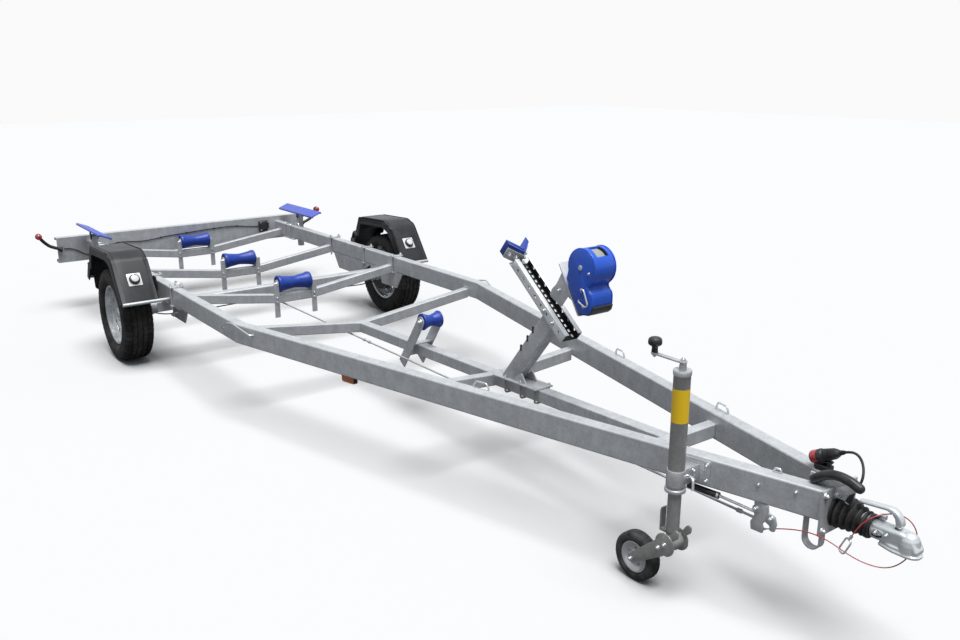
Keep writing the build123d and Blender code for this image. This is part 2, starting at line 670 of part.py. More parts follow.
# ---- light bar and rear lamps ---------------------------------------------------------------
BAR_REAR = BEAM_REAR - BAR_DEPTH
BAR_BOTTOM = BAR_TOP - BAR_HEIGHT
with BuildPart() as light_bar:
    plane, length = across(-BAR_HALF_LENGTH, BAR_HALF_LENGTH)
    with BuildSketch(plane):
        with Locations((ahead(BEAM_REAR), BAR_TOP)):
            Rectangle(BAR_DEPTH, BAR_HEIGHT, align=(Align.MAX, Align.MAX))
        with Locations((ahead(BEAM_REAR - BAR_SHEET), BAR_TOP - BAR_SHEET)):
            Rectangle(BAR_DEPTH - 2 * BAR_SHEET, BAR_HEIGHT - 2 * BAR_SHEET,
                      align=(Align.MAX, Align.MAX), mode=Mode.SUBTRACT)
        with Locations((ahead(BAR_REAR), BAR_TOP - BAR_LIP)):
            Rectangle(2 * BAR_SHEET, BAR_HEIGHT - 2 * BAR_LIP, align=(Align.MIN, Align.MAX),
                      mode=Mode.SUBTRACT)
    extrude(amount=length)
write(light_bar, "light_bar")

LAMP_FACE = BAR_REAR - LAMP_PROUD
with BuildPart() as rear_lamps:
    for side in SIDES.values():
        lamp_middle = side * (BAR_HALF_LENGTH - LAMP_LENGTH / 2 - BAR_LIP)
        web_rear = BEAM_REAR - BAR_SHEET - GAP
        with BuildSketch(Plane.YZ.offset(ahead(LAMP_FACE))):
            with Locations((lamp_middle, BAR_TOP - BAR_HEIGHT / 2)):
                RectangleRounded(LAMP_LENGTH, LAMP_HEIGHT, LAMP_PROUD)
        extrude(amount=web_rear - LAMP_FACE)
write(rear_lamps, "rear_lamps")

# outline lamps on bent rubber arms at the bar's ends
OUTLINE_BASE = 46
# out from the centre line, height
OUTLINE_ROOT = (BAR_HALF_LENGTH - 26, 486)
OUTLINE_ELBOW = (BAR_HALF_LENGTH + 58, 520)
OUTLINE_TIP = (BAR_HALF_LENGTH + 116, 583)
ARM_RUBBER = 13
OUTLINE_LAMP_RADIUS = 24
OUTLINE_LAMP_LENGTH = 62
with BuildPart() as outline_arms:
    for side in SIDES.values():
        with Locations((ahead(BEAM_REAR), side * OUTLINE_ROOT[0], OUTLINE_ROOT[1])):
            Box(OUTLINE_BASE * 0.7, OUTLINE_BASE, OUTLINE_BASE,
                align=(Align.MIN, Align.CENTER, Align.CENTER))
        arm_x = ahead(BEAM_REAR + OUTLINE_BASE * 0.4)
        with BuildLine() as arm_path:
            points = [(arm_x, side * y, z) for y, z in (OUTLINE_ROOT, OUTLINE_ELBOW, OUTLINE_TIP)]
            FilletPolyline(*points, radius=3 * ARM_RUBBER)
        with BuildSketch(Plane(origin=points[0], z_dir=arm_path.line % 0)):
            Circle(ARM_RUBBER)
        sweep(path=arm_path.line)
write(outline_arms, "outline_lamp_arms")

with BuildPart() as outline_lamps:
    for side in SIDES.values():
        out = side * (OUTLINE_TIP[0] + OUTLINE_LAMP_RADIUS / 2)
        lift = OUTLINE_TIP[1] + OUTLINE_LAMP_RADIUS * 0.8
        with Locations(Location((ahead(BEAM_REAR + OUTLINE_BASE * 0.4), out, lift), (0, 90, 0))):
            Cylinder(OUTLINE_LAMP_RADIUS, OUTLINE_LAMP_LENGTH)
    add(outline_arms.part, mode=Mode.SUBTRACT)
write(outline_lamps, "outline_lamps")

# ---- winch stand ---------------------------------------------------------------------------
# rail frame: x up the slope, z square to the rail's web
rail_slope = radians(RAIL_SLOPE)
RAIL = Plane(
    origin=(ahead(RAIL_FOOT_AHEAD), 0, RAIL_FOOT_HEIGHT),
    x_dir=(-cos(rail_slope), 0, sin(rail_slope)),
    z_dir=(sin(rail_slope), 0, cos(rail_slope)),
)
slot_count = int((RAIL_LENGTH - SLOT_PITCH) / SLOT_PITCH)
with BuildPart() as rail:
    with BuildSketch(RAIL):
        with Locations((RAIL_LENGTH / 2, 0)):
            Rectangle(RAIL_LENGTH, RAIL_WIDTH)
    extrude(amount=RAIL_DEPTH)
    with BuildSketch(RAIL.offset(RAIL_SHEET)):
        with Locations((RAIL_LENGTH / 2, 0)):
            Rectangle(RAIL_LENGTH + 2, RAIL_WIDTH - 2 * RAIL_SHEET)
    extrude(amount=RAIL_DEPTH, mode=Mode.SUBTRACT)
    with BuildSketch(RAIL):
        with Locations((RAIL_LENGTH / 2, 0)):
            with GridLocations(SLOT_PITCH, 0, slot_count, 1):
                SlotOverall(SLOT_LENGTH, SLOT_WIDTH)
    extrude(amount=RAIL_SHEET, mode=Mode.SUBTRACT)
write(rail, "winch_rail")

POST_REACH = 700
post_middle_x = RAIL_FOOT_AHEAD - POST_FROM_FOOT * cos(rail_slope)
post_middle_z = RAIL_FOOT_HEIGHT + POST_FROM_FOOT * sin(rail_slope)
post_foot = post_middle_x - (post_middle_z - backbone_top(MIDDLE_CROSS_AT)) * tan(rail_slope)
base_rear = post_foot - POST_BASE_HEEL
base_ends = (base_rear, base_rear + POST_BASE_LENGTH)
with BuildPart() as post:
    with BuildSketch(RAIL):
        with Locations((POST_FROM_FOOT, 0)):
            Rectangle(POST_WIDTH, POST_DEPTH)
            Rectangle(POST_WIDTH - 2 * RAIL_SHEET, POST_DEPTH - 2 * RAIL_SHEET,
                      mode=Mode.SUBTRACT)
    extrude(amount=-POST_REACH)
    # trimmed on the base plate's top, which follows the backbone
    floor_line = [(ahead(x), backbone_top(x) + POST_BASE) for x in (BACKBONE_REAR, BACKBONE_FRONT)]
    with BuildSketch(side_plane(0)):
        Polygon(*floor_line, (ahead(BACKBONE_FRONT), -POST_REACH),
                (ahead(BACKBONE_REAR), -POST_REACH), align=None)
    extrude(amount=POST_DEPTH, both=True, mode=Mode.SUBTRACT)
    base = [(ahead(x), backbone_top(x)) for x in base_ends]
    base += [(x, z + POST_BASE) for x, z in reversed(base)]
    with BuildSketch(side_plane(0)):
        Polygon(*base, align=None)
    extrude(amount=POST_BASE_WIDTH / 2, both=True)
write(post, "winch_post")

# winch plate on two gussets that stand on the rail's flanges
plate_slope = radians(WINCH_PLATE_SLOPE)
PLATE = Plane(
    origin=(ahead(WINCH_PLATE_AHEAD), 0, WINCH_PLATE_HEIGHT),
    x_dir=(-cos(plate_slope), 0, sin(plate_slope)),
    z_dir=(sin(plate_slope), 0, cos(plate_slope)),
)
GUSSET_FOOT = (55, 185)       # up the rail from its lower end
GUSSET_HEAD = (40, 175)       # up the winch plate from its lower end
with BuildPart() as bracket:
    with BuildSketch(PLATE):
        with Locations((WINCH_PLATE_LENGTH / 2, 0)):
            Rectangle(WINCH_PLATE_LENGTH, WINCH_WIDTH)
    extrude(amount=-WINCH_PLATE_SHEET)
    with BuildSketch(RAIL.offset(RAIL_DEPTH)):
        with Locations((sum(GUSSET_FOOT) / 2, 0)):
            Rectangle(GUSSET_FOOT[1] - GUSSET_FOOT[0], RAIL_WIDTH)
    extrude(amount=RAIL_SHEET)
    foot = [RAIL.from_local_coords((u, 0, RAIL_DEPTH)) for u in GUSSET_FOOT]
    head = [PLATE.from_local_coords((u, 0, -WINCH_PLATE_SHEET / 2)) for u in GUSSET_HEAD]
    gusset = [(point.X, point.Z) for point in (foot[0], foot[1], head[1], head[0])]
    for side in SIDES.values():
        plane, length = across(side * (RAIL_WIDTH / 2 - 2 * RAIL_SHEET),
                               side * (RAIL_WIDTH / 2 - RAIL_SHEET))
        with BuildSketch(plane):
            Polygon(*gusset, align=None)
        extrude(amount=length)
write(bracket, "winch_bracket")

with BuildPart() as winch:
    plate_high = PLATE.from_local_coords((WINCH_PLATE_LENGTH * 0.75, 0, 0))
    plate_low = PLATE.from_local_coords((0, 0, 0))
    box = [
        (plate_low.X, plate_low.Z),
        (ahead(WINCH_BOX_FRONT), WINCH_PLATE_HEIGHT + WINCH_RADIUS / 2),
        (ahead(WINCH_BOX_FRONT), WINCH_AXIS - WINCH_RADIUS / 2),
        (ahead(WINCH_AHEAD), WINCH_AXIS),
        (plate_high.X, plate_high.Z),
    ]
    with BuildSketch(side_plane(0)):
        Polygon(*box, align=None)
        with Locations((ahead(WINCH_AHEAD), WINCH_AXIS)):
            Circle(WINCH_RADIUS)
    extrude(amount=WINCH_WIDTH / 2, both=True)
write(winch, "winch")


# bow stop: a V that opens up the rail, blue rubber inside a steel V
def bow_vee(tip_inset, thickness, reach):
    """Plan of a V plate in the rail's frame; its outer corner lies tip_inset up the rail."""
    corner = RAIL_LENGTH + tip_inset
    arm = reach / 2**0.5
    deep = thickness * 2**0.5
    outer = [(corner + arm, arm), (corner, 0), (corner + arm, -arm)]
    return outer + [(corner + arm + deep, -arm), (corner + deep, 0), (corner + arm + deep, arm)]


with BuildPart() as bow_bracket:
    with BuildSketch(RAIL):
        Polygon(*bow_vee(0, BOW_STEEL, BOW_ARM), align=None)
    extrude(amount=BOW_HEIGHT)
    with BuildSketch(RAIL):
        with Locations((RAIL_LENGTH, 0)):
            Rectangle(BOW_ARM / 2, RAIL_WIDTH - 2 * RAIL_SHEET - 2 * GAP)
    extrude(amount=-BOW_STEEL)
write(bow_bracket, "bow_stop_bracket")

with BuildPart() as bow_stop:
    with BuildSketch(RAIL):
        Polygon(*bow_vee(BOW_STEEL * 2**0.5, BOW_RUBBER, BOW_ARM), align=None)
    extrude(amount=BOW_HEIGHT + 3 * BOW_STEEL)
write(bow_stop, "bow_stop")

# ---- jack and jockey wheel -----------------------------------------------------------------
jack_x, jack_y = ahead(JACK_AHEAD), -JACK_OUT
JACK_COLLAR = 38
JACK_CAP = 14
JACK_BOSS = 12
JACK_BOSS_HEIGHT = 22
LEG_WALL = 3
LEG_FIT = 0.3             # radial clearance of the leg in the collar
LEG_BOTTOM = FORK_PIVOT + 42
LEG_TOP = JACK_TOP - JACK_CAP - JACK_TRAVEL_UP - 10
PIVOT_RADIUS = 9
PIVOT_LENGTH = 14

with BuildPart() as jack_tube:
    # columns: outer radius, inner radius, bottom, top
    for outer, inner, bottom, top in (
        (JACK_RADIUS, JACK_RADIUS - JACK_WALL, JACK_BOTTOM, JACK_TOP),
        (JACK_COLLAR, LEG_RADIUS + LEG_FIT, JACK_BOTTOM, JACK_BOTTOM + JACK_CAP),
        (JACK_RADIUS + 2, 0, JACK_TOP - JACK_CAP, JACK_TOP),
        (JACK_BOSS, 0, JACK_TOP, JACK_TOP + JACK_BOSS_HEIGHT),
    ):
        with BuildSketch(Plane.XY.offset(bottom)):
            with Locations((jack_x, jack_y)):
                Circle(outer)
                if inner > 0:
                    Circle(inner, mode=Mode.SUBTRACT)
        extrude(amount=top - bottom)
write(jack_tube, "jack_tube")

CRANK_HEIGHT = JACK_TOP + JACK_BOSS_HEIGHT + GAP
CRANK_THICKNESS = 7
CRANK_END = 14
CRANK_ARM = 20
with BuildPart() as jack_crank:
    with BuildSketch(Plane.XY.offset(CRANK_HEIGHT)):
        with Locations((jack_x, jack_y), (jack_x - CRANK_LENGTH, jack_y)):
            Circle(CRANK_END)
        with Locations((jack_x - CRANK_LENGTH / 2, jack_y)):
            Rectangle(CRANK_LENGTH, CRANK_ARM)
    extrude(amount=CRANK_THICKNESS)
write(jack_crank, "jack_crank")

KNOB_STEM = 26
KNOB_RADIUS = 21
KNOB_HEIGHT = 30
with BuildPart() as crank_knob:
    knob_base = CRANK_HEIGHT + CRANK_THICKNESS
    # columns: bottom, radius, height
    for bottom, radius, height in ((knob_base, KNOB_RADIUS / 2, KNOB_STEM),
                                   (knob_base + KNOB_STEM, KNOB_RADIUS, KNOB_HEIGHT)):
        with BuildSketch(Plane.XY.offset(bottom)):
            with Locations((jack_x - CRANK_LENGTH, jack_y)):
                Circle(radius)
        extrude(amount=height)
    fillet(crank_knob.edges().group_by(Axis.Z)[-1], radius=KNOB_RADIUS / 2)
write(crank_knob, "crank_knob")

# clamp: a plate on the right beam's tapering face, a block and a ring round the tube
CLAMP_BOTTOM = BEAM_BOTTOM + 24
CLAMP_HEIGHT = 62
CLAMP_PLATE = 8
CLAMP_RING = 9
CLAMP_BLOCK = 60
taper_length = (1 + TAPER**2) ** 0.5
OUTWARD = (TAPER / taper_length, -1 / taper_length, 0)
BEAM_FACE = Plane(
    origin=(jack_x, -outer_face(JACK_AHEAD), BEAM_BOTTOM + BEAM_HEIGHT / 2),
    x_dir=(1 / taper_length, TAPER / taper_length, 0),
    z_dir=OUTWARD,
)
with BuildPart() as jack_clamp:
    with BuildSketch(BEAM_FACE):
        RectangleRounded(2 * CLAMP_BLOCK, BEAM_HEIGHT - 2 * BEAM_CORNER, CLAMP_PLATE)
    extrude(amount=CLAMP_PLATE)
    clamp_middle = CLAMP_BOTTOM + CLAMP_HEIGHT / 2 - BEAM_BOTTOM - BEAM_HEIGHT / 2
    with BuildSketch(BEAM_FACE):
        with Locations((0, clamp_middle)):
            Rectangle(CLAMP_BLOCK, CLAMP_HEIGHT)
    extrude(amount=(JACK_OUT - outer_face(JACK_AHEAD)) / taper_length)
    with BuildSketch(Plane.XY.offset(CLAMP_BOTTOM)):
        with Locations((jack_x, jack_y)):
            Circle(JACK_RADIUS + CLAMP_RING)
    extrude(amount=CLAMP_HEIGHT)
    with BuildSketch(Plane.XY.offset(CLAMP_BOTTOM)):
        with Locations((jack_x, jack_y)):
            Circle(JACK_RADIUS + GAP)
    extrude(amount=CLAMP_HEIGHT, mode=Mode.SUBTRACT)
write(jack_clamp, "jack_clamp")

with BuildPart() as jack_leg:
    with BuildSketch(Plane.XY.offset(LEG_BOTTOM)):
        with Locations((jack_x, jack_y)):
            Circle(LEG_RADIUS)
            Circle(LEG_RADIUS - LEG_WALL, mode=Mode.SUBTRACT)
    extrude(amount=LEG_TOP - LEG_BOTTOM)
    with BuildSketch(Plane.XY.offset(LEG_BOTTOM)):
        with Locations((jack_x, jack_y)):
            Circle(LEG_RADIUS)
            Circle(PIVOT_RADIUS + RUNNING, mode=Mode.SUBTRACT)
    extrude(amount=PIVOT_LENGTH)
write(jack_leg, "jack_leg")

hub_x = jack_x - JOCKEY_TRAIL
FORK_PLATE = 6
FORK_RADIUS = 44
JOCKEY_AXLE = 8
FORK_PLAY = 6
fork_inner = JOCKEY_WIDTH / 2 + FORK_PLAY
with BuildPart() as fork:
    for side in SIDES.values():
        plane, length = across(jack_y + side * fork_inner, jack_y + side * (fork_inner + FORK_PLATE))
        with BuildSketch(plane):
            with Locations((jack_x, FORK_PIVOT)):
                Circle(FORK_RADIUS)
        extrude(amount=length)
        with BuildSketch(plane):
            with Locations((jack_x, FORK_PIVOT), (hub_x, JOCKEY_RADIUS)):
                Circle(FORK_RADIUS * 0.45)
            make_hull()
        extrude(amount=length)
    plane, length = across(jack_y - fork_inner, jack_y + fork_inner)
    with BuildSketch(plane):
        with Locations((jack_x, FORK_PIVOT)):
            Circle(FORK_RADIUS * 0.7)
            Rectangle(2 * LEG_RADIUS, LEG_BOTTOM - GAP - FORK_PIVOT,
                      align=(Align.CENTER, Align.MIN))
        with Locations((hub_x, JOCKEY_RADIUS)):
            Circle(JOCKEY_AXLE)
    extrude(amount=length)
    with BuildSketch(Plane.XY.offset(FORK_PIVOT)):
        with Locations((jack_x, jack_y)):
            Circle(PIVOT_RADIUS)
    extrude(amount=LEG_BOTTOM + PIVOT_LENGTH - FORK_PIVOT)
write(fork, "jockey_fork")

JOCKEY_RIM = 62


def jockey_ring(profile, node):
    """Turn a profile of (distance from the wheel's middle, radius) about the jockey axle."""
    with BuildPart() as ring:
        with BuildSketch(Plane.YZ.offset(hub_x)):
            Polygon(*[(jack_y + out, JOCKEY_RADIUS + radius) for out, radius in profile],
                    align=None)
        revolve(axis=Axis((hub_x, 0, JOCKEY_RADIUS), (0, 1, 0)))
    write(ring, node)


HUB_HALF = fork_inner - SIDE_PLAY
jockey_half = [(HUB_HALF, JOCKEY_AXLE + RUNNING), (HUB_HALF, 20), (12, 26), (12, 44),
               (24, JOCKEY_RIM), (17, JOCKEY_RIM), (10, 52)]
jockey_ring(jockey_half + [(-out, radius) for out, radius in reversed(jockey_half)],
            "jockey_rim")
tread = JOCKEY_WIDTH / 2
jockey_side = [(10, 52 + GAP), (17, JOCKEY_RIM + GAP), (tread - 6, JOCKEY_RIM + GAP),
               (tread, JOCKEY_RIM + 12), (tread - 4, JOCKEY_RADIUS - 8),
               (tread - 14, JOCKEY_RADIUS)]
jockey_ring(jockey_side + [(-out, radius) for out, radius in reversed(jockey_side)],
            "jockey_tyre")

# ---- drawbar head, bellows, coupling ---------------------------------------------------------
FLANGE_FRONT = BEAM_FRONT + FLANGE
LEVER_PLATE = 8
LEVER_PLATE_OUT = LEVER_OUT - GRIP_RADIUS - GAP
LEVER_PLATE_REAR = 85
LEVER_PLATE_FRONT = FLANGE_FRONT + 45
LEVER_PLATE_RISE = 28
CABLE = 9
CABLE_END = (4588, -30, 518)   # ahead, left, height; the cable's gland is on the plate's edge
CABLE_END_RUN = (-10, -6, -25)
with BuildPart() as drawbar_head:
    flange_top = BEAM_TOP + FLANGE / 2
    with BuildSketch(Plane.YZ.offset(ahead(BEAM_FRONT))):
        with Locations((0, FLANGE_BOTTOM)):
            Rectangle(2 * FLANGE_HALF_WIDTH, flange_top - FLANGE_BOTTOM,
                      align=(Align.CENTER, Align.MIN))
    extrude(amount=FLANGE)
    with BuildSketch(Plane.YZ.offset(ahead(BEAM_FRONT))):
        with Locations((0, COUPLING_AXIS)):
            Circle(DRAWBAR_RADIUS)
    extrude(amount=COUPLING_REAR - BEAM_FRONT)
    lever_plate = [(BEAM_FRONT - LEVER_PLATE_REAR, BEAM_TOP),
                   (BEAM_FRONT - LEVER_PLATE_REAR, BEAM_TOP + LEVER_PLATE_RISE),
                   (LEVER_PLATE_FRONT, BEAM_TOP + LEVER_PLATE_RISE),
                   (LEVER_PLATE_FRONT, BEAM_TOP - LEVER_PLATE_RISE),
                   (FLANGE_FRONT - FLANGE / 2, BEAM_TOP - LEVER_PLATE_RISE),
                   (FLANGE_FRONT - FLANGE / 2, BEAM_TOP)]
    plane, length = across(-LEVER_PLATE_OUT, -LEVER_PLATE_OUT + LEVER_PLATE)
    with BuildSketch(plane):
        Polygon(*[(ahead(x), z) for x, z in lever_plate], align=None)
    extrude(amount=length)
    gland = Plane(origin=(ahead(CABLE_END[0]), *CABLE_END[1:]), z_dir=CABLE_END_RUN)
    with BuildSketch(gland):
        Circle(CABLE_END[0] - LEVER_PLATE_FRONT)
    extrude(amount=2 * CABLE)
write(drawbar_head, "drawbar_head")

BELLOWS_REAR = FLANGE_FRONT + GAP
BELLOWS_FRONT = COUPLING_REAR - GAP
with BuildPart() as bellows:
    fold = (BELLOWS_FRONT - BELLOWS_REAR) / BELLOWS_FOLDS
    with BuildSketch(side_plane(0)):
        with BuildLine():
            start = (ahead(BELLOWS_REAR), COUPLING_AXIS + DRAWBAR_RADIUS + GAP)
            end = (ahead(BELLOWS_FRONT), COUPLING_AXIS + DRAWBAR_RADIUS + GAP)
            Line(end, start)
            low = start
            for number in range(BELLOWS_FOLDS):
                share = (number + 1) / BELLOWS_FOLDS
                radius = BELLOWS_REAR_RADIUS + share * (BELLOWS_FRONT_RADIUS - BELLOWS_REAR_RADIUS)
                fold_rear = BELLOWS_REAR + number * fold
                valley = COUPLING_AXIS + radius - BELLOWS_DEPTH
                Line(low, (ahead(fold_rear), valley))
                ThreePointArc((ahead(fold_rear), valley),
                              (ahead(fold_rear + fold / 2), COUPLING_AXIS + radius),
                              (ahead(fold_rear + fold), valley))
                low = (ahead(fold_rear + fold), valley)
            Line(low, end)
        make_face()
    revolve(axis=Axis((0, 0, COUPLING_AXIS), (1, 0, 0)))
write(bellows, "bellows")

# columns: ahead of the axle, height over the coupling's axis
HEAD_SIDE = ((0, 28), (38, 30), (83, 34), (128, 34), (153, 20), (163, -4), (160, -34),
             (148, -42), (78, -42), (38, -30), (0, -28))
ball_centre = (ahead(BALL_AHEAD), 0, COUPLING_AXIS - BALL_DROP)
with BuildPart() as coupling:
    with BuildSketch(side_plane(0)):
        Polygon(*[(ahead(COUPLING_REAR + x), COUPLING_AXIS + z) for x, z in HEAD_SIDE], align=None)
    extrude(amount=COUPLING_WIDTH / 2, both=True)
    fillet(coupling.edges().filter_by(Axis.Z, reverse=True).group_by(Axis.X)[-1], radius=4)
    with Locations(ball_centre):
        Sphere(BALL_RADIUS + GAP, mode=Mode.SUBTRACT)
        Cylinder(BALL_RADIUS + GAP, COUPLING_AXIS, align=(Align.CENTER, Align.CENTER, Align.MAX),
                 mode=Mode.SUBTRACT)
write(coupling, "coupling_head")

# handle: columns: ahead of the axle, height; upper edge from rear to front, lower edge back
HANDLE_EDGE = ((4606, 517), (4650, 523), (4704, 530), (4736, 524), (4756, 500), (4760, 485),
               (4738, 484), (4732, 500), (4722, 511), (4704, 517), (4650, 511), (4606, 506))
HANDLE_WIDTH = 26
with BuildPart() as handle:
    with BuildSketch(side_plane(0)):
        Polygon(*[(ahead(x), z) for x, z in HANDLE_EDGE], align=None)
    extrude(amount=HANDLE_WIDTH / 2, both=True)
    add(coupling.part, mode=Mode.SUBTRACT)
write(handle, "coupling_handle")

# ---- hand brake and what it works ------------------------------------------------------------
# columns: ahead of the axle, height; the grip from its pivot over the plate to its end
LEVER_PATH = ((4472, 552), (4527, 588), (4621, 578))
PIVOT_BOLT = 9
with BuildPart() as lever:
    bend = [(ahead(x), -LEVER_OUT, z) for x, z in LEVER_PATH]
    with BuildLine() as lever_path:
        ThreePointArc(*bend)
    with BuildSketch(Plane(origin=bend[0], z_dir=lever_path.line % 0)):
        Circle(GRIP_RADIUS)
    sweep(path=lever_path.line)
    plane, length = across(-LEVER_OUT, -LEVER_PLATE_OUT)
    with BuildSketch(plane):
        with Locations((bend[0][0] + GRIP_RADIUS, bend[0][2])):
            Circle(PIVOT_BOLT)
    extrude(amount=length)
write(lever, "handbrake_lever")

# safety strap: a U of flat bar under the right beam, just behind the flange
STRAP_OUT = 60
STRAP_WIDTH = 30
STRAP_SHEET = 5
STRAP_SPAN = 68
STRAP_BOTTOM = 307
strap_middle = ahead(BEAM_FRONT - GAP - STRAP_SPAN / 2)
with BuildPart() as strap:
    plane, length = across(-STRAP_OUT - STRAP_WIDTH / 2, -STRAP_OUT + STRAP_WIDTH / 2)
    bow_height = STRAP_BOTTOM + STRAP_SPAN / 2
    with BuildSketch(plane):
        for radius, mode in ((STRAP_SPAN / 2, Mode.ADD),
                             (STRAP_SPAN / 2 - STRAP_SHEET, Mode.SUBTRACT)):
            with Locations((strap_middle, bow_height)):
                Circle(radius, mode=mode)
                Rectangle(2 * radius, BEAM_BOTTOM - bow_height,
                          align=(Align.CENTER, Align.MIN), mode=mode)
    extrude(amount=length)
write(strap, "hook_strap")

# pivot plate of the brake linkage, hanging under the right beam, and the rod back to the axle
LINK_AHEAD = 4324
LINK_OUT = 120
LINK_PLATE = 7
LINK_LENGTH = 56
LINK_BOTTOM = 312
ROD_RADIUS = 5
ROD_FRONT_HEIGHT = 354
ROD_REAR_HEIGHT = 300
ROD_REAR_OUT = 60
# breakaway cable: from a crimp beside the plate, round the coupling, to a hook over itself
# columns: ahead of the axle, left of the centre line, height
BREAKAWAY = 4
BREAKAWAY_ROUTE = (
    (4334, -115, 326), (4382, -114, 348), (4434, -111, 368), (4488, -106, 382),
    (4540, -100, 384), (4586, -92, 373), (4630, -81, 354), (4669, -66, 340), (4701, -48, 333),
    (4728, -28, 331), (4748, -6, 338), (4763, 16, 354), (4773, 36, 376), (4779, 49, 402),
    (4780, 54, 430), (4774, 53, 458), (4760, 46, 482), (4741, 33, 499), (4719, 15, 505),
    (4699, -7, 503), (4684, -28, 498), (4668, -45, 485), (4652, -58, 464), (4641, -67, 441),
    (4632, -72, 417),
)
CRIMP_RADIUS = 5
CRIMP_LENGTH = 18
breakaway_points = [Vector(ahead(x), y, z) for x, y, z in BREAKAWAY_ROUTE]
with BuildPart() as linkage:
    with Locations((ahead(LINK_AHEAD), -LINK_OUT, LINK_BOTTOM)):
        Box(LINK_LENGTH, LINK_PLATE, BEAM_BOTTOM - LINK_BOTTOM,
            align=(Align.CENTER, Align.MAX, Align.MIN))
    with Locations((ahead(LINK_AHEAD), -LINK_OUT, BEAM_BOTTOM)):
        Box(LINK_LENGTH, BEAM_WIDTH / 2, LINK_PLATE,
            align=(Align.CENTER, Align.MIN, Align.MAX))
    rod_front = Vector(ahead(LINK_AHEAD), -LINK_OUT + ROD_RADIUS, ROD_FRONT_HEIGHT)
    rod_rear = Vector(ahead(AXLE_TUBE_AHEAD + AXLE_TUBE / 2), -ROD_REAR_OUT, ROD_REAR_HEIGHT)
    with BuildSketch(Plane(origin=rod_rear, z_dir=rod_front - rod_rear)):
        Circle(ROD_RADIUS)
    extrude(amount=(rod_front - rod_rear).length)
    with Locations((rod_rear.X, rod_rear.Y, rod_rear.Z - 2 * ROD_RADIUS)):
        Box(4 * ROD_RADIUS, LINK_PLATE, AXLE_TUBE_Z - rod_rear.Z,
            align=(Align.MIN, Align.CENTER, Align.MIN))
    crimp = Plane(origin=breakaway_points[0], z_dir=breakaway_points[0] - breakaway_points[1])
    with BuildSketch(crimp):
        Circle(CRIMP_RADIUS)
    extrude(amount=CRIMP_LENGTH)
write(linkage, "brake_linkage")

# gas spring along the underside of the right beam
# columns: ahead of the axle, out from the centre line, height
SPRING_REAR = (4050, 184, 406)
SPRING_JOINT = (4170, 154, 398)
SPRING_RADIUS = 12
with BuildPart() as spring:
    rear, joint = (Vector(ahead(x), -y, z) for x, y, z in (SPRING_REAR, SPRING_JOINT))
    front = Vector(ahead(LINK_AHEAD - LINK_LENGTH / 4), -LINK_OUT + SPRING_RADIUS / 2, 376)
    for start, end, radius in ((rear, joint, SPRING_RADIUS), (joint, front, SPRING_RADIUS / 2)):
        with BuildSketch(Plane(origin=start, z_dir=end - start)):
            Circle(radius)
        extrude(amount=(end - start).length)
    with Locations((rear.X, rear.Y, rear.Z)):
        Box(2 * SPRING_RADIUS, SPRING_RADIUS, BEAM_BOTTOM - rear.Z,
            align=(Align.MIN, Align.CENTER, Align.MIN))
    add(linkage.part, mode=Mode.SUBTRACT)
write(spring, "brake_spring")

# ---- lamps and wiring ------------------------------------------------------------------------
SIDE_LAMP_AHEAD = 2285
SIDE_LAMP_LENGTH = 92
SIDE_LAMP_HEIGHT = 36
SIDE_LAMP_DEPTH = 22
with BuildPart() as side_lamps:
    for side in SIDES.values():
        with Locations(Location((ahead(SIDE_LAMP_AHEAD),
                                 side * (outer_face(SIDE_LAMP_AHEAD) - SIDE_LAMP_DEPTH),
                                 BEAM_BOTTOM), (0, 0, -side * degrees(atan(TAPER))))):
            Box(SIDE_LAMP_LENGTH, SIDE_LAMP_DEPTH, SIDE_LAMP_HEIGHT,
                align=(Align.CENTER, Align.CENTER, Align.MAX))
write(side_lamps, "side_marker_lamps")

JUNCTION_OUT = FRAME_HALF_WIDTH - 177
JUNCTION_HEIGHT = 500
JUNCTION_RADIUS = 46
JUNCTION_DEPTH = 40
with BuildPart() as junction:
    with BuildSketch(Plane.YZ.offset(ahead(BEAM_REAR))):
        with Locations((JUNCTION_OUT, JUNCTION_HEIGHT)):
            RectangleRounded(2 * JUNCTION_RADIUS, 2 * JUNCTION_RADIUS, JUNCTION_RADIUS / 3)
    extrude(amount=JUNCTION_DEPTH)
write(junction, "junction_box")


def cord(route, diameter, node):
    """A round cord along a route of points, each corner as large an arc as its runs allow."""
    points = [Vector(*point) for point in route]
    radii = []
    for before, corner, after in zip(points, points[1:], points[2:]):
        shorter = min((corner - before).length, (after - corner).length)
        turn = radians((corner - before).get_angle(after - corner))
        radii.append(0.45 * shorter / tan(turn / 2))
    with BuildPart() as tube:
        with BuildLine() as path:
            FilletPolyline(*points, radius=radii)
        with BuildSketch(Plane(origin=points[0], z_dir=path.wire() % 0)):
            Circle(diameter / 2)
        sweep(path=path.wire())
    length = path.wire().length
    solid = tube.part.volume / (pi * diameter**2 / 4 * length)
    print(node, "length", round(length), "filled", round(solid, 3),
          "radii", [round(radius) for radius in radii])
    write(tube, node)


WIRE = 8
# columns: out from the centre line, height
WIRE_ROUTE = ((OUTLINE_BASE / 2 - OUTLINE_ROOT[0], OUTLINE_ROOT[1]), (-985, OUTLINE_ROOT[1]),
              (-950, 478), (-914, 460), (-880, 436), (-846, 416), (-812, 408), (-778, 415),
              (-744, 436), (-708, 460), (-662, 480), (-600, 490), (-520, 488), (-430, 478),
              (-340, 482), (-250, 494), (-140, 504), (-30, 509), (90, 517), (210, 521),
              (320, 525), (420, 521), (500, 510), (562, JUNCTION_HEIGHT),
              (JUNCTION_OUT - JUNCTION_RADIUS, JUNCTION_HEIGHT))
wire_x = ahead(BEAM_REAR) + WIRE / 2 + GAP
cord([(wire_x, y, z) for y, z in WIRE_ROUTE], WIRE, "lamp_cable")

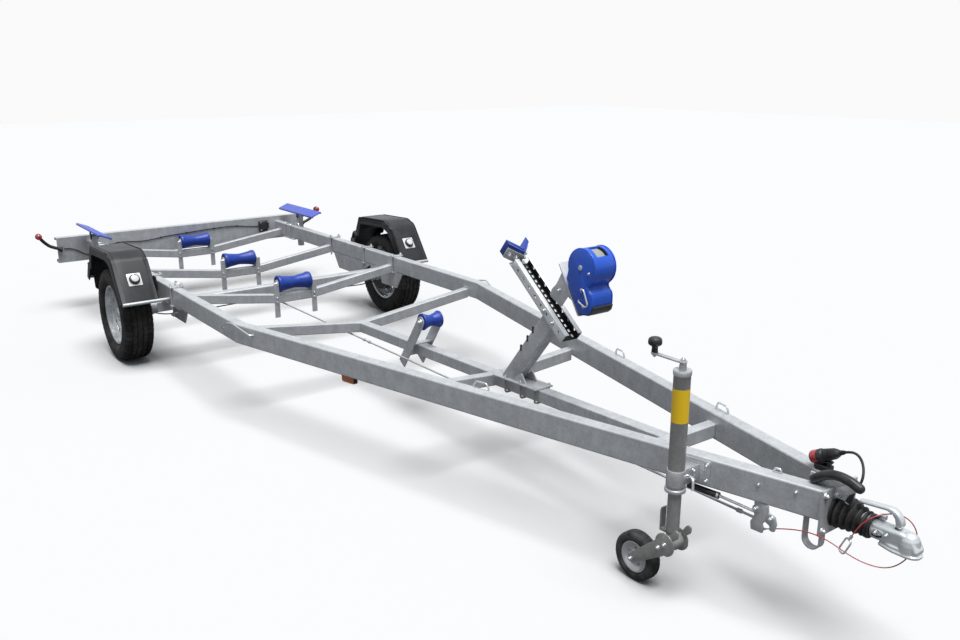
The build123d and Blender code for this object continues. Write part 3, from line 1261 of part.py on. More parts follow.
# plug parked in its holder on the left beam, and its cable
PLUG_REAR = (4379, 66, 565)    # ahead, left, height of the ends of its middle line
PLUG_FRONT = (4483, 66, 617)
PLUG_RADIUS = 24
PLUG_LENS = 30
plug_line = [Vector(ahead(x), y, z) for x, y, z in (PLUG_REAR, PLUG_FRONT)]
plug_length = (plug_line[1] - plug_line[0]).length
PLUG = Plane(origin=plug_line[0], z_dir=plug_line[1] - plug_line[0])
with BuildPart() as plug:
    # columns: start along the plug, radius, length
    for start, radius, length in ((0, PLUG_RADIUS - 3, PLUG_LENS),
                                  (PLUG_LENS, PLUG_RADIUS, plug_length / 2),
                                  (PLUG_LENS + plug_length / 2, PLUG_RADIUS / 2,
                                   plug_length / 2 - PLUG_LENS)):
        with BuildSketch(PLUG.offset(start)):
            Circle(radius)
        extrude(amount=length)
write(plug, "plug")

HOLDER_LENGTH = 44
HOLDER_WIDTH = 22
with BuildPart() as holder:
    with Locations((plug_line[0].X + HOLDER_LENGTH, plug_line[0].Y, BEAM_TOP)):
        Box(HOLDER_LENGTH, HOLDER_WIDTH, PLUG_REAR[2] - BEAM_TOP,
            align=(Align.CENTER, Align.CENTER, Align.MIN))
    add(plug.part, mode=Mode.SUBTRACT)
write(holder, "plug_holder")

# columns: ahead of the axle, left of the centre line, height
CABLE_ROUTE = (PLUG_FRONT, (4509, 66, 630), (4540, 57, 639), (4569, 41, 635), (4592, 22, 618),
               (4605, 4, 594), (4606, -12, 568), (4598, -24, 543), CABLE_END)
cord([(ahead(x), y, z) for x, y, z in CABLE_ROUTE], CABLE, "plug_cable")

cord(breakaway_points, BREAKAWAY, "breakaway_cable")

HOOK_WIRE = 3
HOOK_LENGTH = 54          # middle line to middle line
HOOK_WIDTH = 26
with BuildPart() as hook:
    down = (breakaway_points[-1] - breakaway_points[-2]).normalized()
    facing = Vector(0.35, 0.94, 0)
    facing = (facing - down * facing.dot(down)).normalized()
    with BuildSketch(Plane(origin=breakaway_points[-1], z_dir=down)):
        Circle(CRIMP_RADIUS)
    extrude(amount=CRIMP_LENGTH)
    middle = breakaway_points[-1] + down * (CRIMP_LENGTH - HOOK_WIRE + HOOK_LENGTH / 2)
    with BuildLine(Plane(origin=middle, x_dir=down, z_dir=facing)) as loop:
        FilletPolyline(
            (HOOK_LENGTH / 2, HOOK_WIDTH / 2), (HOOK_LENGTH / 2, -HOOK_WIDTH / 2),
            (-HOOK_LENGTH / 2, -HOOK_WIDTH / 2), (-HOOK_LENGTH / 2, HOOK_WIDTH / 2),
            radius=HOOK_WIDTH * 0.4, close=True)
    with BuildSketch(Plane(origin=loop.wire() @ 0, z_dir=loop.wire() % 0)):
        Circle(HOOK_WIRE)
    sweep(path=loop.wire())
write(hook, "snap_hook")
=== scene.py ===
"""A single-axle boat trailer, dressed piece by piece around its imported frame.

Laid out as an add-on: the sizes and colours are properties, each group of pieces is an operator,
and main() runs them in order. Places in the tables are millimetres ahead of the axle, to the left
of the centre line and over the ground; everything else is in metres.
"""

import json
from math import cos, pi, radians, sin, tau

import bmesh
import bpy
from bpy.props import FloatProperty, FloatVectorProperty, IntProperty, PointerProperty
from bpy.types import Operator, Panel, PropertyGroup
from mathutils import Matrix, Quaternion, Vector


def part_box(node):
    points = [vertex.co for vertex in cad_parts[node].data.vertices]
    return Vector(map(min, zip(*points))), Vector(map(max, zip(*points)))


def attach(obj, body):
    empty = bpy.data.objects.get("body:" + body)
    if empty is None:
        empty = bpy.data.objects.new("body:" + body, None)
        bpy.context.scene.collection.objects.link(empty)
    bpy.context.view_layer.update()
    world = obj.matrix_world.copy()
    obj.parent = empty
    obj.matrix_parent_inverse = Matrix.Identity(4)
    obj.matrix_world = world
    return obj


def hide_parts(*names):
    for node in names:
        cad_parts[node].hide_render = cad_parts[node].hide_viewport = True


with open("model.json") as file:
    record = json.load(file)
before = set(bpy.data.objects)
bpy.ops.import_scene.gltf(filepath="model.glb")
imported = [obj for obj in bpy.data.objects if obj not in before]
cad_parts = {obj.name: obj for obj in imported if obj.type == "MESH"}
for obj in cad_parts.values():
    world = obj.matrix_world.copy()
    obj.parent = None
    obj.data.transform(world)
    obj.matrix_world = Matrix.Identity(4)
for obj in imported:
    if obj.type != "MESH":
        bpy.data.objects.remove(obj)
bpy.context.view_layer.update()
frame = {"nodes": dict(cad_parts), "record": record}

bl_info = {
    "name": "Boat Trailer",
    "version": (1, 0, 0),
    "blender": (4, 5, 0),
    "location": "3D View > Sidebar > Trailer",
    "description": "Builds the detailed pieces and finishes of a single-axle boat trailer",
    "category": "Object",
}

MM = 0.001
TYRE_LOW, TYRE_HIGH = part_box("left_tyre")
AXLE_X = (TYRE_LOW[0] + TYRE_HIGH[0]) / 2
WHEEL_OUT = (TYRE_LOW[1] + TYRE_HIGH[1]) / 2
WHEEL_UP = (TYRE_LOW[2] + TYRE_HIGH[2]) / 2
SIDES = {"left": 1, "right": -1}
AHEAD, LEFT, UP = Vector((1, 0, 0)), Vector((0, 1, 0)), Vector((0, 0, 1))
# the beams' outer and inner faces, where they start to taper and by how much
FRAME_OUT, FRAME_IN = 842, 782
BEND_AHEAD = 1450
TAPER = 760 / 3075
# the backbone's top at its rear end and how it climbs
BACKBONE_REAR, BACKBONE_TOP, BACKBONE_RISE = 1365, 383, 79 / 2460
JACK_AHEAD, JACK_LEFT = 4083, -293
DRUM_AHEAD, DRUM_UP = 3322, 1068


def at(ahead, left, up):
    """A place from millimetres ahead of the axle, left of the centre line and over the ground."""
    return Vector((AXLE_X + ahead * MM, left * MM, up * MM))


def beam_out(ahead):
    """Distance in millimetres from the centre line to a beam's outer face."""
    return FRAME_OUT - TAPER * max(0, ahead - BEND_AHEAD)


def backbone_top(ahead):
    """Height in millimetres of the backbone's top."""
    return BACKBONE_TOP + BACKBONE_RISE * (ahead - BACKBONE_REAR)


# ---- modelling -------------------------------------------------------------------------------
def object_mode():
    """Leave edit mode."""
    if bpy.context.object and bpy.context.object.mode != "OBJECT":
        bpy.ops.object.mode_set(mode="OBJECT")


def only(piece):
    """Make a piece the one selected and active object."""
    object_mode()
    bpy.ops.object.select_all(action="DESELECT")
    piece.select_set(True)
    bpy.context.view_layer.objects.active = piece


def start(primitive, **place):
    """Add a primitive with nothing else selected."""
    object_mode()
    bpy.ops.object.select_all(action="DESELECT")
    primitive(**place)
    return bpy.context.object


def freeze(piece):
    """Move a piece's place, turn and size into its mesh."""
    only(piece)
    bpy.ops.object.transform_apply(location=True, rotation=True, scale=True)
    return piece


def modify(piece, kind, **settings):
    """Add a modifier, set it and apply it."""
    only(piece)
    modifier = piece.modifiers.new(kind.title(), kind)
    for name, value in settings.items():
        setattr(modifier, name, value)
    bpy.ops.object.modifier_apply(modifier=modifier.name)
    return piece


def soften(piece, width, steps=2, angle=30):
    """Round a piece's sharp edges."""
    return modify(piece, "BEVEL", width=width, segments=steps, limit_method="ANGLE",
                  angle_limit=radians(angle))


def pick(piece, test, kind="faces"):
    """In edit mode, select the faces or edges that pass a test on their middle and normal."""
    mesh = bmesh.from_edit_mesh(piece.data)
    bpy.ops.mesh.select_all(action="DESELECT")
    bpy.ops.mesh.select_mode(type="FACE" if kind == "faces" else "EDGE")
    for part in getattr(mesh, kind):
        if kind == "faces":
            chosen = test(part.calc_center_median(), part.normal)
        else:
            one, two = (vertex.co for vertex in part.verts)
            chosen = test((one + two) / 2, (two - one).normalized())
        part.select_set(chosen)
    bmesh.update_edit_mesh(piece.data)


def edit(piece):
    """Enter edit mode on a piece with all of it selected."""
    only(piece)
    bpy.ops.object.mode_set(mode="EDIT")
    bpy.ops.mesh.select_mode(type="VERT")
    bpy.ops.mesh.select_all(action="SELECT")


def outwards():
    """In edit mode, merge doubles and point every face outwards."""
    bpy.ops.mesh.select_all(action="SELECT")
    bpy.ops.mesh.remove_doubles(threshold=0.00001)
    bpy.ops.mesh.normals_make_consistent(inside=False)


def stroke(points):
    """A chain of edges through these places, drawn by extruding one vertex."""
    line = start(bpy.ops.mesh.primitive_plane_add, size=0.01, location=points[0])
    edit(line)
    bpy.ops.mesh.merge(type="CENTER")
    for here, there in zip(points, points[1:]):
        bpy.ops.mesh.extrude_vertices_move(TRANSFORM_OT_translate={"value": there - here})
    return freeze(line)


def slab(corners, push, corner=0.0, edge=0.0):
    """A flat outline, its corners rounded, pushed out into a solid with rounded edges."""
    piece = stroke(corners)
    edit(piece)
    bpy.ops.mesh.edge_face_add()
    object_mode()
    if corner:
        modify(piece, "BEVEL", affect="VERTICES", width=corner, segments=5)
    edit(piece)
    bpy.ops.mesh.extrude_region_move(TRANSFORM_OT_translate={"value": push})
    outwards()
    object_mode()
    if edge:
        soften(piece, edge)
    return piece


def lathe(profile, centre, axis, steps=48, closed=True):
    """A profile of (distance along the axis, radius) spun about it."""
    axis = axis.normalized()
    side = axis.orthogonal().normalized()
    points = [centre + axis * along + side * radius for along, radius in profile]
    if closed:
        points.append(points[0])
    piece = stroke(points)
    edit(piece)
    bpy.ops.mesh.spin(steps=steps, angle=tau, center=centre, axis=axis)
    outwards()
    object_mode()
    return piece


def rod(points, radius, bend=0.0, sides=12):
    """A round bar through these places, with rounded bends and closed ends."""
    line = stroke(points)
    if bend:
        modify(line, "BEVEL", affect="VERTICES", width=bend, segments=6)
    only(line)
    bpy.ops.object.convert(target="CURVE")
    line = bpy.context.object
    line.data.bevel_depth = radius
    line.data.bevel_resolution = max(0, (sides - 4) // 2)
    line.data.use_fill_caps = True
    bpy.ops.object.convert(target="MESH")
    piece = bpy.context.object
    edit(piece)
    outwards()
    object_mode()
    return piece


def block(low, high, edge=0.002, steps=2):
    """A box between two corners with rounded edges."""
    middle = (low + high) / 2
    piece = start(bpy.ops.mesh.primitive_cube_add, size=1, location=middle)
    piece.scale = [abs(b - a) for a, b in zip(low, high)]
    return soften(freeze(piece), edge, steps)


def join(pieces):
    """One mesh of several."""
    only(pieces[0])
    for piece in pieces[1:]:
        piece.select_set(True)
    if len(pieces) > 1:
        bpy.ops.object.join()
    return bpy.context.object


def copy_of(pattern):
    """A piece's copy with a mesh of its own."""
    piece = pattern.copy()
    piece.data = pattern.data.copy()
    bpy.context.collection.objects.link(piece)
    return piece


def moved(piece, matrix):
    """Move a piece and freeze it there."""
    piece.matrix_world = matrix @ piece.matrix_world
    return freeze(piece)


def set_out(pattern, places):
    """Copies of a small piece modelled at the origin along +Z, each at a (place, direction)."""
    copies = []
    for place, direction in places:
        turn = direction.to_track_quat("Z", "Y").to_matrix().to_4x4()
        copies.append(moved(copy_of(pattern), Matrix.Translation(place) @ turn))
    bpy.data.objects.remove(pattern)
    return join(copies)


def mirrored(piece):
    """The piece's twin on the other side of the centre line."""
    twin = copy_of(piece)
    moved(twin, Matrix.Scale(-1, 4, LEFT))
    edit(twin)
    bpy.ops.mesh.normals_make_consistent(inside=False)
    object_mode()
    return twin


def cut(piece, cutter):
    """Take one solid out of another."""
    modify(piece, "BOOLEAN", object=cutter, operation="DIFFERENCE", solver="EXACT")
    bpy.data.objects.remove(cutter)
    return piece


def hex_bolt(size):
    """A bolt head on a washer, at the origin along +Z; size is across its corners."""
    head = start(bpy.ops.mesh.primitive_cylinder_add, vertices=6, radius=size / 2,
                 depth=size * 0.42, location=(0, 0, size * 0.33))
    soften(freeze(head), size * 0.05, 1)
    washer = lathe([(0, 0), (0, size * 0.78), (size * 0.12, size * 0.74), (size * 0.12, 0)],
                   Vector(), UP, 18, closed=False)
    stud = lathe([(size * 0.4, 0), (size * 0.4, size * 0.27), (size * 0.72, size * 0.25),
                  (size * 0.76, size * 0.2), (size * 0.76, 0)], Vector(), UP, 10, closed=False)
    return join([head, washer, stud])


# ---- finishes --------------------------------------------------------------------------------
# finish name: material slot of the record
SLOTS = {
    "dipped zinc": "galvanised",
    "jack zinc": "galvanised",
    "rail zinc": "galvanised",
    "bright zinc": "zinc",
    "coupling steel": "coupling_steel",
    "satin black steel": "black_steel",
    "silver wheel paint": "rim_silver",
    "tyre rubber": "tyre",
    "solid tyre rubber": "jockey_rubber",
    "guard plastic": "guard_plastic",
    "black plastic": "black_plastic",
    "black rubber": "black_rubber",
    "blue roller rubber": "blue_rubber",
    "blue pad plastic": "blue_plastic",
    "blue winch cover": "blue_plastic",
    "red sheath": "red_cable",
    "white lens": "lens_white",
    "red lens": "lens_red",
    "amber lens": "lens_amber",
    "strap webbing": "lens_white",
    "yellow band": "lens_amber",
}


def finish(piece, name, material, stands_for=(), body="chassis", angle=35):
    """Name a finished piece, place, smooth and paint it, and let it ride on its body."""
    piece.name = name
    piece.data.name = name
    freeze(piece)
    bpy.ops.object.shade_smooth_by_angle(angle=radians(angle))
    piece.data.materials.clear()
    piece.data.materials.append(bpy.data.materials[material])
    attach(piece, body)
    if stands_for:
        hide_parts(*stands_for)


def bolts(name, size, places, body="chassis"):
    """Bolt heads of bright zinc, each at a (place, direction)."""
    finish(set_out(hex_bolt(size), places), name, "bright zinc", (), body)


def node(tree, kind, **values):
    """A shader node with its settings and the values of its sockets."""
    made = tree.nodes.new(f"ShaderNode{kind}")
    for name, value in values.items():
        if hasattr(made, name):
            setattr(made, name, value)
        else:
            made.inputs[name.replace("_", " ")].default_value = value
    return made


def new_group(name, inputs, outputs):
    """A node group with its sockets; inputs hold their defaults."""
    tree = bpy.data.node_groups.new(name, "ShaderNodeTree")
    for label, value in inputs.items():
        kind = "NodeSocketFloat" if isinstance(value, (int, float)) else "NodeSocketColor"
        socket = tree.interface.new_socket(label, in_out="INPUT", socket_type=kind)
        socket.default_value = value
    for label in outputs:
        kind = "NodeSocketColor" if label == "Color" else "NodeSocketFloat"
        tree.interface.new_socket(label, in_out="OUTPUT", socket_type=kind)
    entry = tree.nodes.new("NodeGroupInput")
    leave = tree.nodes.new("NodeGroupOutput")
    return tree, entry.outputs, leave.inputs


def blended(tree, factor, one, two):
    """A colour mix; its ends are sockets or colours."""
    mix = tree.nodes.new("ShaderNodeMix")
    mix.data_type = "RGBA"
    for socket, value in ((0, factor), (6, one), (7, two)):
        if isinstance(value, bpy.types.NodeSocket):
            tree.links.new(value, mix.inputs[socket])
        else:
            mix.inputs[socket].default_value = value
    return mix.outputs[2]


def summed(tree, terms):
    """A weighted sum of values, as one socket."""
    total = None
    for socket, weight in terms:
        step = node(tree, "Math", operation="MULTIPLY_ADD")
        tree.links.new(socket, step.inputs[0])
        step.inputs[1].default_value = weight
        if total:
            tree.links.new(total, step.inputs[2])
        else:
            step.inputs[2].default_value = 0
        total = step.outputs[0]
    return total


def ranged(tree, value, low, high, to_low=0.0, to_high=1.0):
    """A value stretched from one range to another and held inside it."""
    step = node(tree, "MapRange")
    tree.links.new(value, step.inputs["Value"])
    for label, number in (("From Min", low), ("From Max", high), ("To Min", to_low),
                          ("To Max", to_high)):
        if isinstance(number, bpy.types.NodeSocket):
            tree.links.new(number, step.inputs[label])
        else:
            step.inputs[label].default_value = number
    return step.outputs["Result"]


def dipped_zinc_group():
    """Hot-dip zinc: cloudy patches, spangle, runs down the faces and dark specks."""
    tree, given, out = new_group(
        "Dipped zinc",
        {"Dull": (0.3, 0.31, 0.32, 1), "Bright": (0.6, 0.62, 0.64, 1), "Patch": 7.0,
         "Spangle": 90.0, "Smooth": 0.38, "Rough": 0.6},
        ("Color", "Roughness", "Height"),
    )
    place = node(tree, "TexCoord").outputs["Object"]
    cloud = node(tree, "TexNoise", Detail=5.0, Roughness=0.62)
    grain = node(tree, "TexNoise", Scale=420.0, Detail=2.0)
    cells = node(tree, "TexVoronoi")
    tone = node(tree, "RGBToBW")
    tall = node(tree, "Mapping", Scale=(34.0, 34.0, 5.0))
    runs = node(tree, "TexNoise", Scale=1.0, Detail=3.0)
    specks = node(tree, "TexNoise", Scale=150.0, Detail=1.0)
    links = tree.links
    for texture in (cloud, grain, cells, specks):
        links.new(place, texture.inputs["Vector"])
    links.new(place, tall.inputs["Vector"])
    links.new(tall.outputs[0], runs.inputs["Vector"])
    links.new(given["Patch"], cloud.inputs["Scale"])
    links.new(given["Spangle"], cells.inputs["Scale"])
    links.new(cells.outputs["Color"], tone.inputs[0])
    mixed = summed(tree, ((cloud.outputs[0], 0.62), (tone.outputs[0], 0.16),
                          (runs.outputs[0], 0.22)))
    tint = blended(tree, ranged(tree, mixed, 0.36, 0.62), given["Dull"], given["Bright"])
    speck = ranged(tree, specks.outputs[0], 0.24, 0.31, 0.55, 0.0)
    links.new(blended(tree, speck, tint, given["Dull"]), out["Color"])
    links.new(ranged(tree, mixed, 0.36, 0.62, given["Rough"], given["Smooth"]), out["Roughness"])
    height = summed(tree, ((cloud.outputs[0], 0.6), (grain.outputs[0], 0.12),
                           (tone.outputs[0], 0.08)))
    links.new(height, out["Height"])
    return tree


def moulded_grain_group():
    """Moulded plastic and rubber: fine grain, faded patches, dust and light scuffs."""
    tree, given, out = new_group(
        "Moulded grain",
        {"Fresh": (0.03, 0.03, 0.03, 1), "Faded": (0.08, 0.08, 0.08, 1), "Patch": 9.0,
         "Grain": 900.0, "Scuffs": 0.3, "Smooth": 0.35, "Rough": 0.6},
        ("Color", "Roughness", "Height"),
    )
    place = node(tree, "TexCoord").outputs["Object"]
    cloud = node(tree, "TexNoise", Detail=6.0, Roughness=0.65)
    grain = node(tree, "TexNoise", Detail=2.0)
    long = node(tree, "Mapping", Scale=(18.0, 60.0, 140.0), Rotation=(0.4, 0.9, 0.3))
    scratch = node(tree, "TexNoise", Scale=1.0, Detail=4.0)
    links = tree.links
    links.new(place, cloud.inputs["Vector"])
    links.new(place, grain.inputs["Vector"])
    links.new(place, long.inputs["Vector"])
    links.new(long.outputs[0], scratch.inputs["Vector"])
    links.new(given["Patch"], cloud.inputs["Scale"])
    links.new(given["Grain"], grain.inputs["Scale"])
    marks = ranged(tree, scratch.outputs[0], 0.62, 0.72, 0.0, given["Scuffs"])
    fade = ranged(tree, cloud.outputs[0], 0.35, 0.68)
    both = node(tree, "Math", operation="MAXIMUM")
    links.new(marks, both.inputs[0])
    links.new(ranged(tree, fade, 0.0, 1.0, 0.0, 0.6), both.inputs[1])
    links.new(blended(tree, both.outputs[0], given["Fresh"], given["Faded"]), out["Color"])
    links.new(ranged(tree, fade, 0.0, 1.0, given["Smooth"], given["Rough"]), out["Roughness"])
    links.new(summed(tree, ((grain.outputs[0], 0.5), (cloud.outputs[0], 0.5))), out["Height"])
    return tree


def new_finish(name, group, values, bump, **shader_values):
    """A material whose colour, roughness and relief come from a node group."""
    material = bpy.data.materials.new(name)
    material.use_nodes = True
    tree = material.node_tree
    shader = tree.nodes["Principled BSDF"]
    for label, value in shader_values.items():
        shader.inputs[label.replace("_", " ")].default_value = value
    effect = tree.nodes.new("ShaderNodeGroup")
    effect.node_tree = group
    for label, value in values.items():
        effect.inputs[label].default_value = value
    relief = node(tree, "Bump", Strength=bump[0], Distance=bump[1])
    tree.links.new(effect.outputs["Color"], shader.inputs["Base Color"])
    tree.links.new(effect.outputs["Roughness"], shader.inputs["Roughness"])
    tree.links.new(effect.outputs["Height"], relief.inputs["Height"])
    tree.links.new(relief.outputs["Normal"], shader.inputs["Normal"])
    return material


def paled(colour, share):
    """A colour mixed towards a pale dusty grey, for use as a faded tone."""
    dust = (0.42, 0.41, 0.39)
    return (*[a + (b - a) * share for a, b in zip(colour, dust)], 1)


class TrailerColours(PropertyGroup):
    """Colours of the trailer's finishes."""

    zinc_dull: FloatVectorProperty(name="Dull zinc", description="Darker tone of the dipped zinc",
                                   subtype="COLOR", size=3, default=(0.42, 0.437, 0.455))
    zinc_bright: FloatVectorProperty(name="Bright zinc",
                                     description="Lighter tone of the dipped zinc",
                                     subtype="COLOR", size=3, default=(0.58, 0.602, 0.625))
    winch_blue: FloatVectorProperty(name="Winch cover", description="Painted cover of the winch",
                                    subtype="COLOR", size=3, default=(0.022, 0.105, 0.62))
    roller_blue: FloatVectorProperty(name="Rollers", description="Rubber of the keel rollers",
                                     subtype="COLOR", size=3, default=(0.010, 0.045, 0.33))
    pad_blue: FloatVectorProperty(name="Bilge pads", description="Plastic of the bilge pads",
                                  subtype="COLOR", size=3, default=(0.085, 0.125, 0.52))
    guard_black: FloatVectorProperty(name="Mudguards", description="Moulded plastic of the guards",
                                     subtype="COLOR", size=3, default=(0.014, 0.0155, 0.019))
    wheel_silver: FloatVectorProperty(name="Wheel rims", description="Paint of the steel wheels",
                                      subtype="COLOR", size=3, default=(0.58, 0.60, 0.62))
    lamp_red: FloatVectorProperty(name="Red lens", description="Rear lamps and plug body",
                                  subtype="COLOR", size=3, default=(0.45, 0.012, 0.012))
    lamp_amber: FloatVectorProperty(name="Amber lens", description="Side lamps and indicators",
                                    subtype="COLOR", size=3, default=(0.60, 0.13, 0.008))
    band_yellow: FloatVectorProperty(name="Jack band", description="Blank band round the jack tube",
                                     subtype="COLOR", size=3, default=(0.92, 0.60, 0.006))
    cable_red: FloatVectorProperty(name="Breakaway cable",
                                   description="Plastic sheath of the cable",
                                   subtype="COLOR", size=3, default=(0.42, 0.02, 0.03))


class TrailerSizes(PropertyGroup):
    """Sizes of the trailer's fittings."""

    tread_depth: FloatProperty(name="Tread depth", description="Depth of the tyres' grooves",
                               default=0.007, min=0.001, max=0.01, unit="LENGTH")
    wheel_holes: IntProperty(name="Wheel holes", description="Openings round each wheel disc",
                             default=10, min=4, max=16)
    bolt: FloatProperty(name="Frame bolts", description="Width of a frame bolt across its corners",
                        default=0.021, min=0.01, max=0.04, unit="LENGTH")
    small_bolt: FloatProperty(name="Small bolts",
                              description="Width of a small bolt across its corners",
                              default=0.015, min=0.006, max=0.03, unit="LENGTH")
    clamp_rod: FloatProperty(name="U-bolt rod", description="Radius of the U-bolts' rod",
                             default=0.005, min=0.003, max=0.01, unit="LENGTH")


class TRAILER_OT_stage(Operator):
    """Set up the floor, the light and the camera"""

    bl_idname = "trailer.stage"
    bl_label = "Stage"

    FLOOR_SIZE = 60
    # the floor's colour for the camera and for light that bounces off it
    FLOOR_SHOWN, FLOOR_BOUNCE = (0.62, 0.62, 0.625, 1), (0.16, 0.16, 0.165, 1)
    # the sky's colour and strength as a light, in mirrors and for the camera
    SKY_LIGHT = (0.90, 0.95, 1.0, 1), 0.26
    SKY_MIRRORED = (0.94, 0.97, 1.0, 1), 0.8
    SKY_SHOWN = (1, 1, 1, 1), 0.955
    SUN_STRENGTH, SUN_SPREAD = 4.3, radians(40)
    SUN_TURN = (radians(4), radians(14), 0)
    CAMERA_PLACE = (4.4355, -2.596, 1.8715)
    # angles under the horizon and away from straight back
    CAMERA_DOWN, CAMERA_ASIDE = 0.2732, 0.6428
    SENSOR_WIDTH, FOCAL_LENGTH = 36, 33.86

    def execute(self, context):
        self.floor()
        self.sky(context)
        self.sun_and_camera(context)
        return {"FINISHED"}

    def floor(self):
        """A wide floor that is pale to the camera but throws little light back."""
        floor = start(bpy.ops.mesh.primitive_plane_add, size=self.FLOOR_SIZE, location=(0, 0, 0))
        edit(floor)
        bpy.ops.mesh.subdivide(number_cuts=4)
        object_mode()
        floor.name = "studio_floor"
        material = bpy.data.materials.new("studio floor")
        material.use_nodes = True
        tree = material.node_tree
        tree.nodes.remove(tree.nodes["Principled BSDF"])
        shown = node(tree, "BsdfDiffuse", Color=self.FLOOR_SHOWN)
        bounce = node(tree, "BsdfDiffuse", Color=self.FLOOR_BOUNCE)
        tree.links.new(self.seen(tree, bounce.outputs[0], shown.outputs[0], ("Is Camera Ray",)),
                       tree.nodes["Material Output"].inputs["Surface"])
        floor.data.materials.append(material)

    def sky(self, context):
        """A white sky that lights the trailer softly."""
        world = bpy.data.worlds.new("studio")
        context.scene.world = world
        world.use_nodes = True
        tree = world.node_tree
        light = tree.nodes["Background"]
        mirrored_sky, white = node(tree, "Background"), node(tree, "Background")
        for background, (colour, strength) in ((light, self.SKY_LIGHT),
                                               (mirrored_sky, self.SKY_MIRRORED),
                                               (white, self.SKY_SHOWN)):
            background.inputs["Color"].default_value = colour
            background.inputs["Strength"].default_value = strength
        plain = self.seen(tree, light.outputs[0], mirrored_sky.outputs[0],
                          ("Is Glossy Ray", "Is Transmission Ray"))
        tree.links.new(self.seen(tree, plain, white.outputs[0], ("Is Camera Ray",)),
                       tree.nodes["World Output"].inputs["Surface"])

    def sun_and_camera(self, context):
        """A broad sun overhead and the camera ahead of the trailer on its right."""
        bpy.ops.object.light_add(type="SUN", rotation=self.SUN_TURN)
        sun = context.object
        sun.data.energy = self.SUN_STRENGTH
        sun.data.angle = self.SUN_SPREAD
        bpy.ops.object.camera_add(
            location=self.CAMERA_PLACE,
            rotation=(pi / 2 - self.CAMERA_DOWN, 0, pi / 2 - self.CAMERA_ASIDE))
        camera = context.object
        camera.data.sensor_width = self.SENSOR_WIDTH
        camera.data.lens = self.FOCAL_LENGTH
        context.scene.camera = camera
        context.scene.view_settings.view_transform = "Standard"

    def seen(self, tree, plain, shown, rays):
        """Mix in what these kinds of ray see."""
        path = tree.nodes.new("ShaderNodeLightPath")
        factor = None
        for label in rays:
            if factor is None:
                factor = path.outputs[label]
                continue
            either = node(tree, "Math", operation="MAXIMUM")
            tree.links.new(factor, either.inputs[0])
            tree.links.new(path.outputs[label], either.inputs[1])
            factor = either.outputs[0]
        mix = tree.nodes.new("ShaderNodeMixShader")
        tree.links.new(factor, mix.inputs[0])
        tree.links.new(plain, mix.inputs[1])
        tree.links.new(shown, mix.inputs[2])
        return mix.outputs[0]


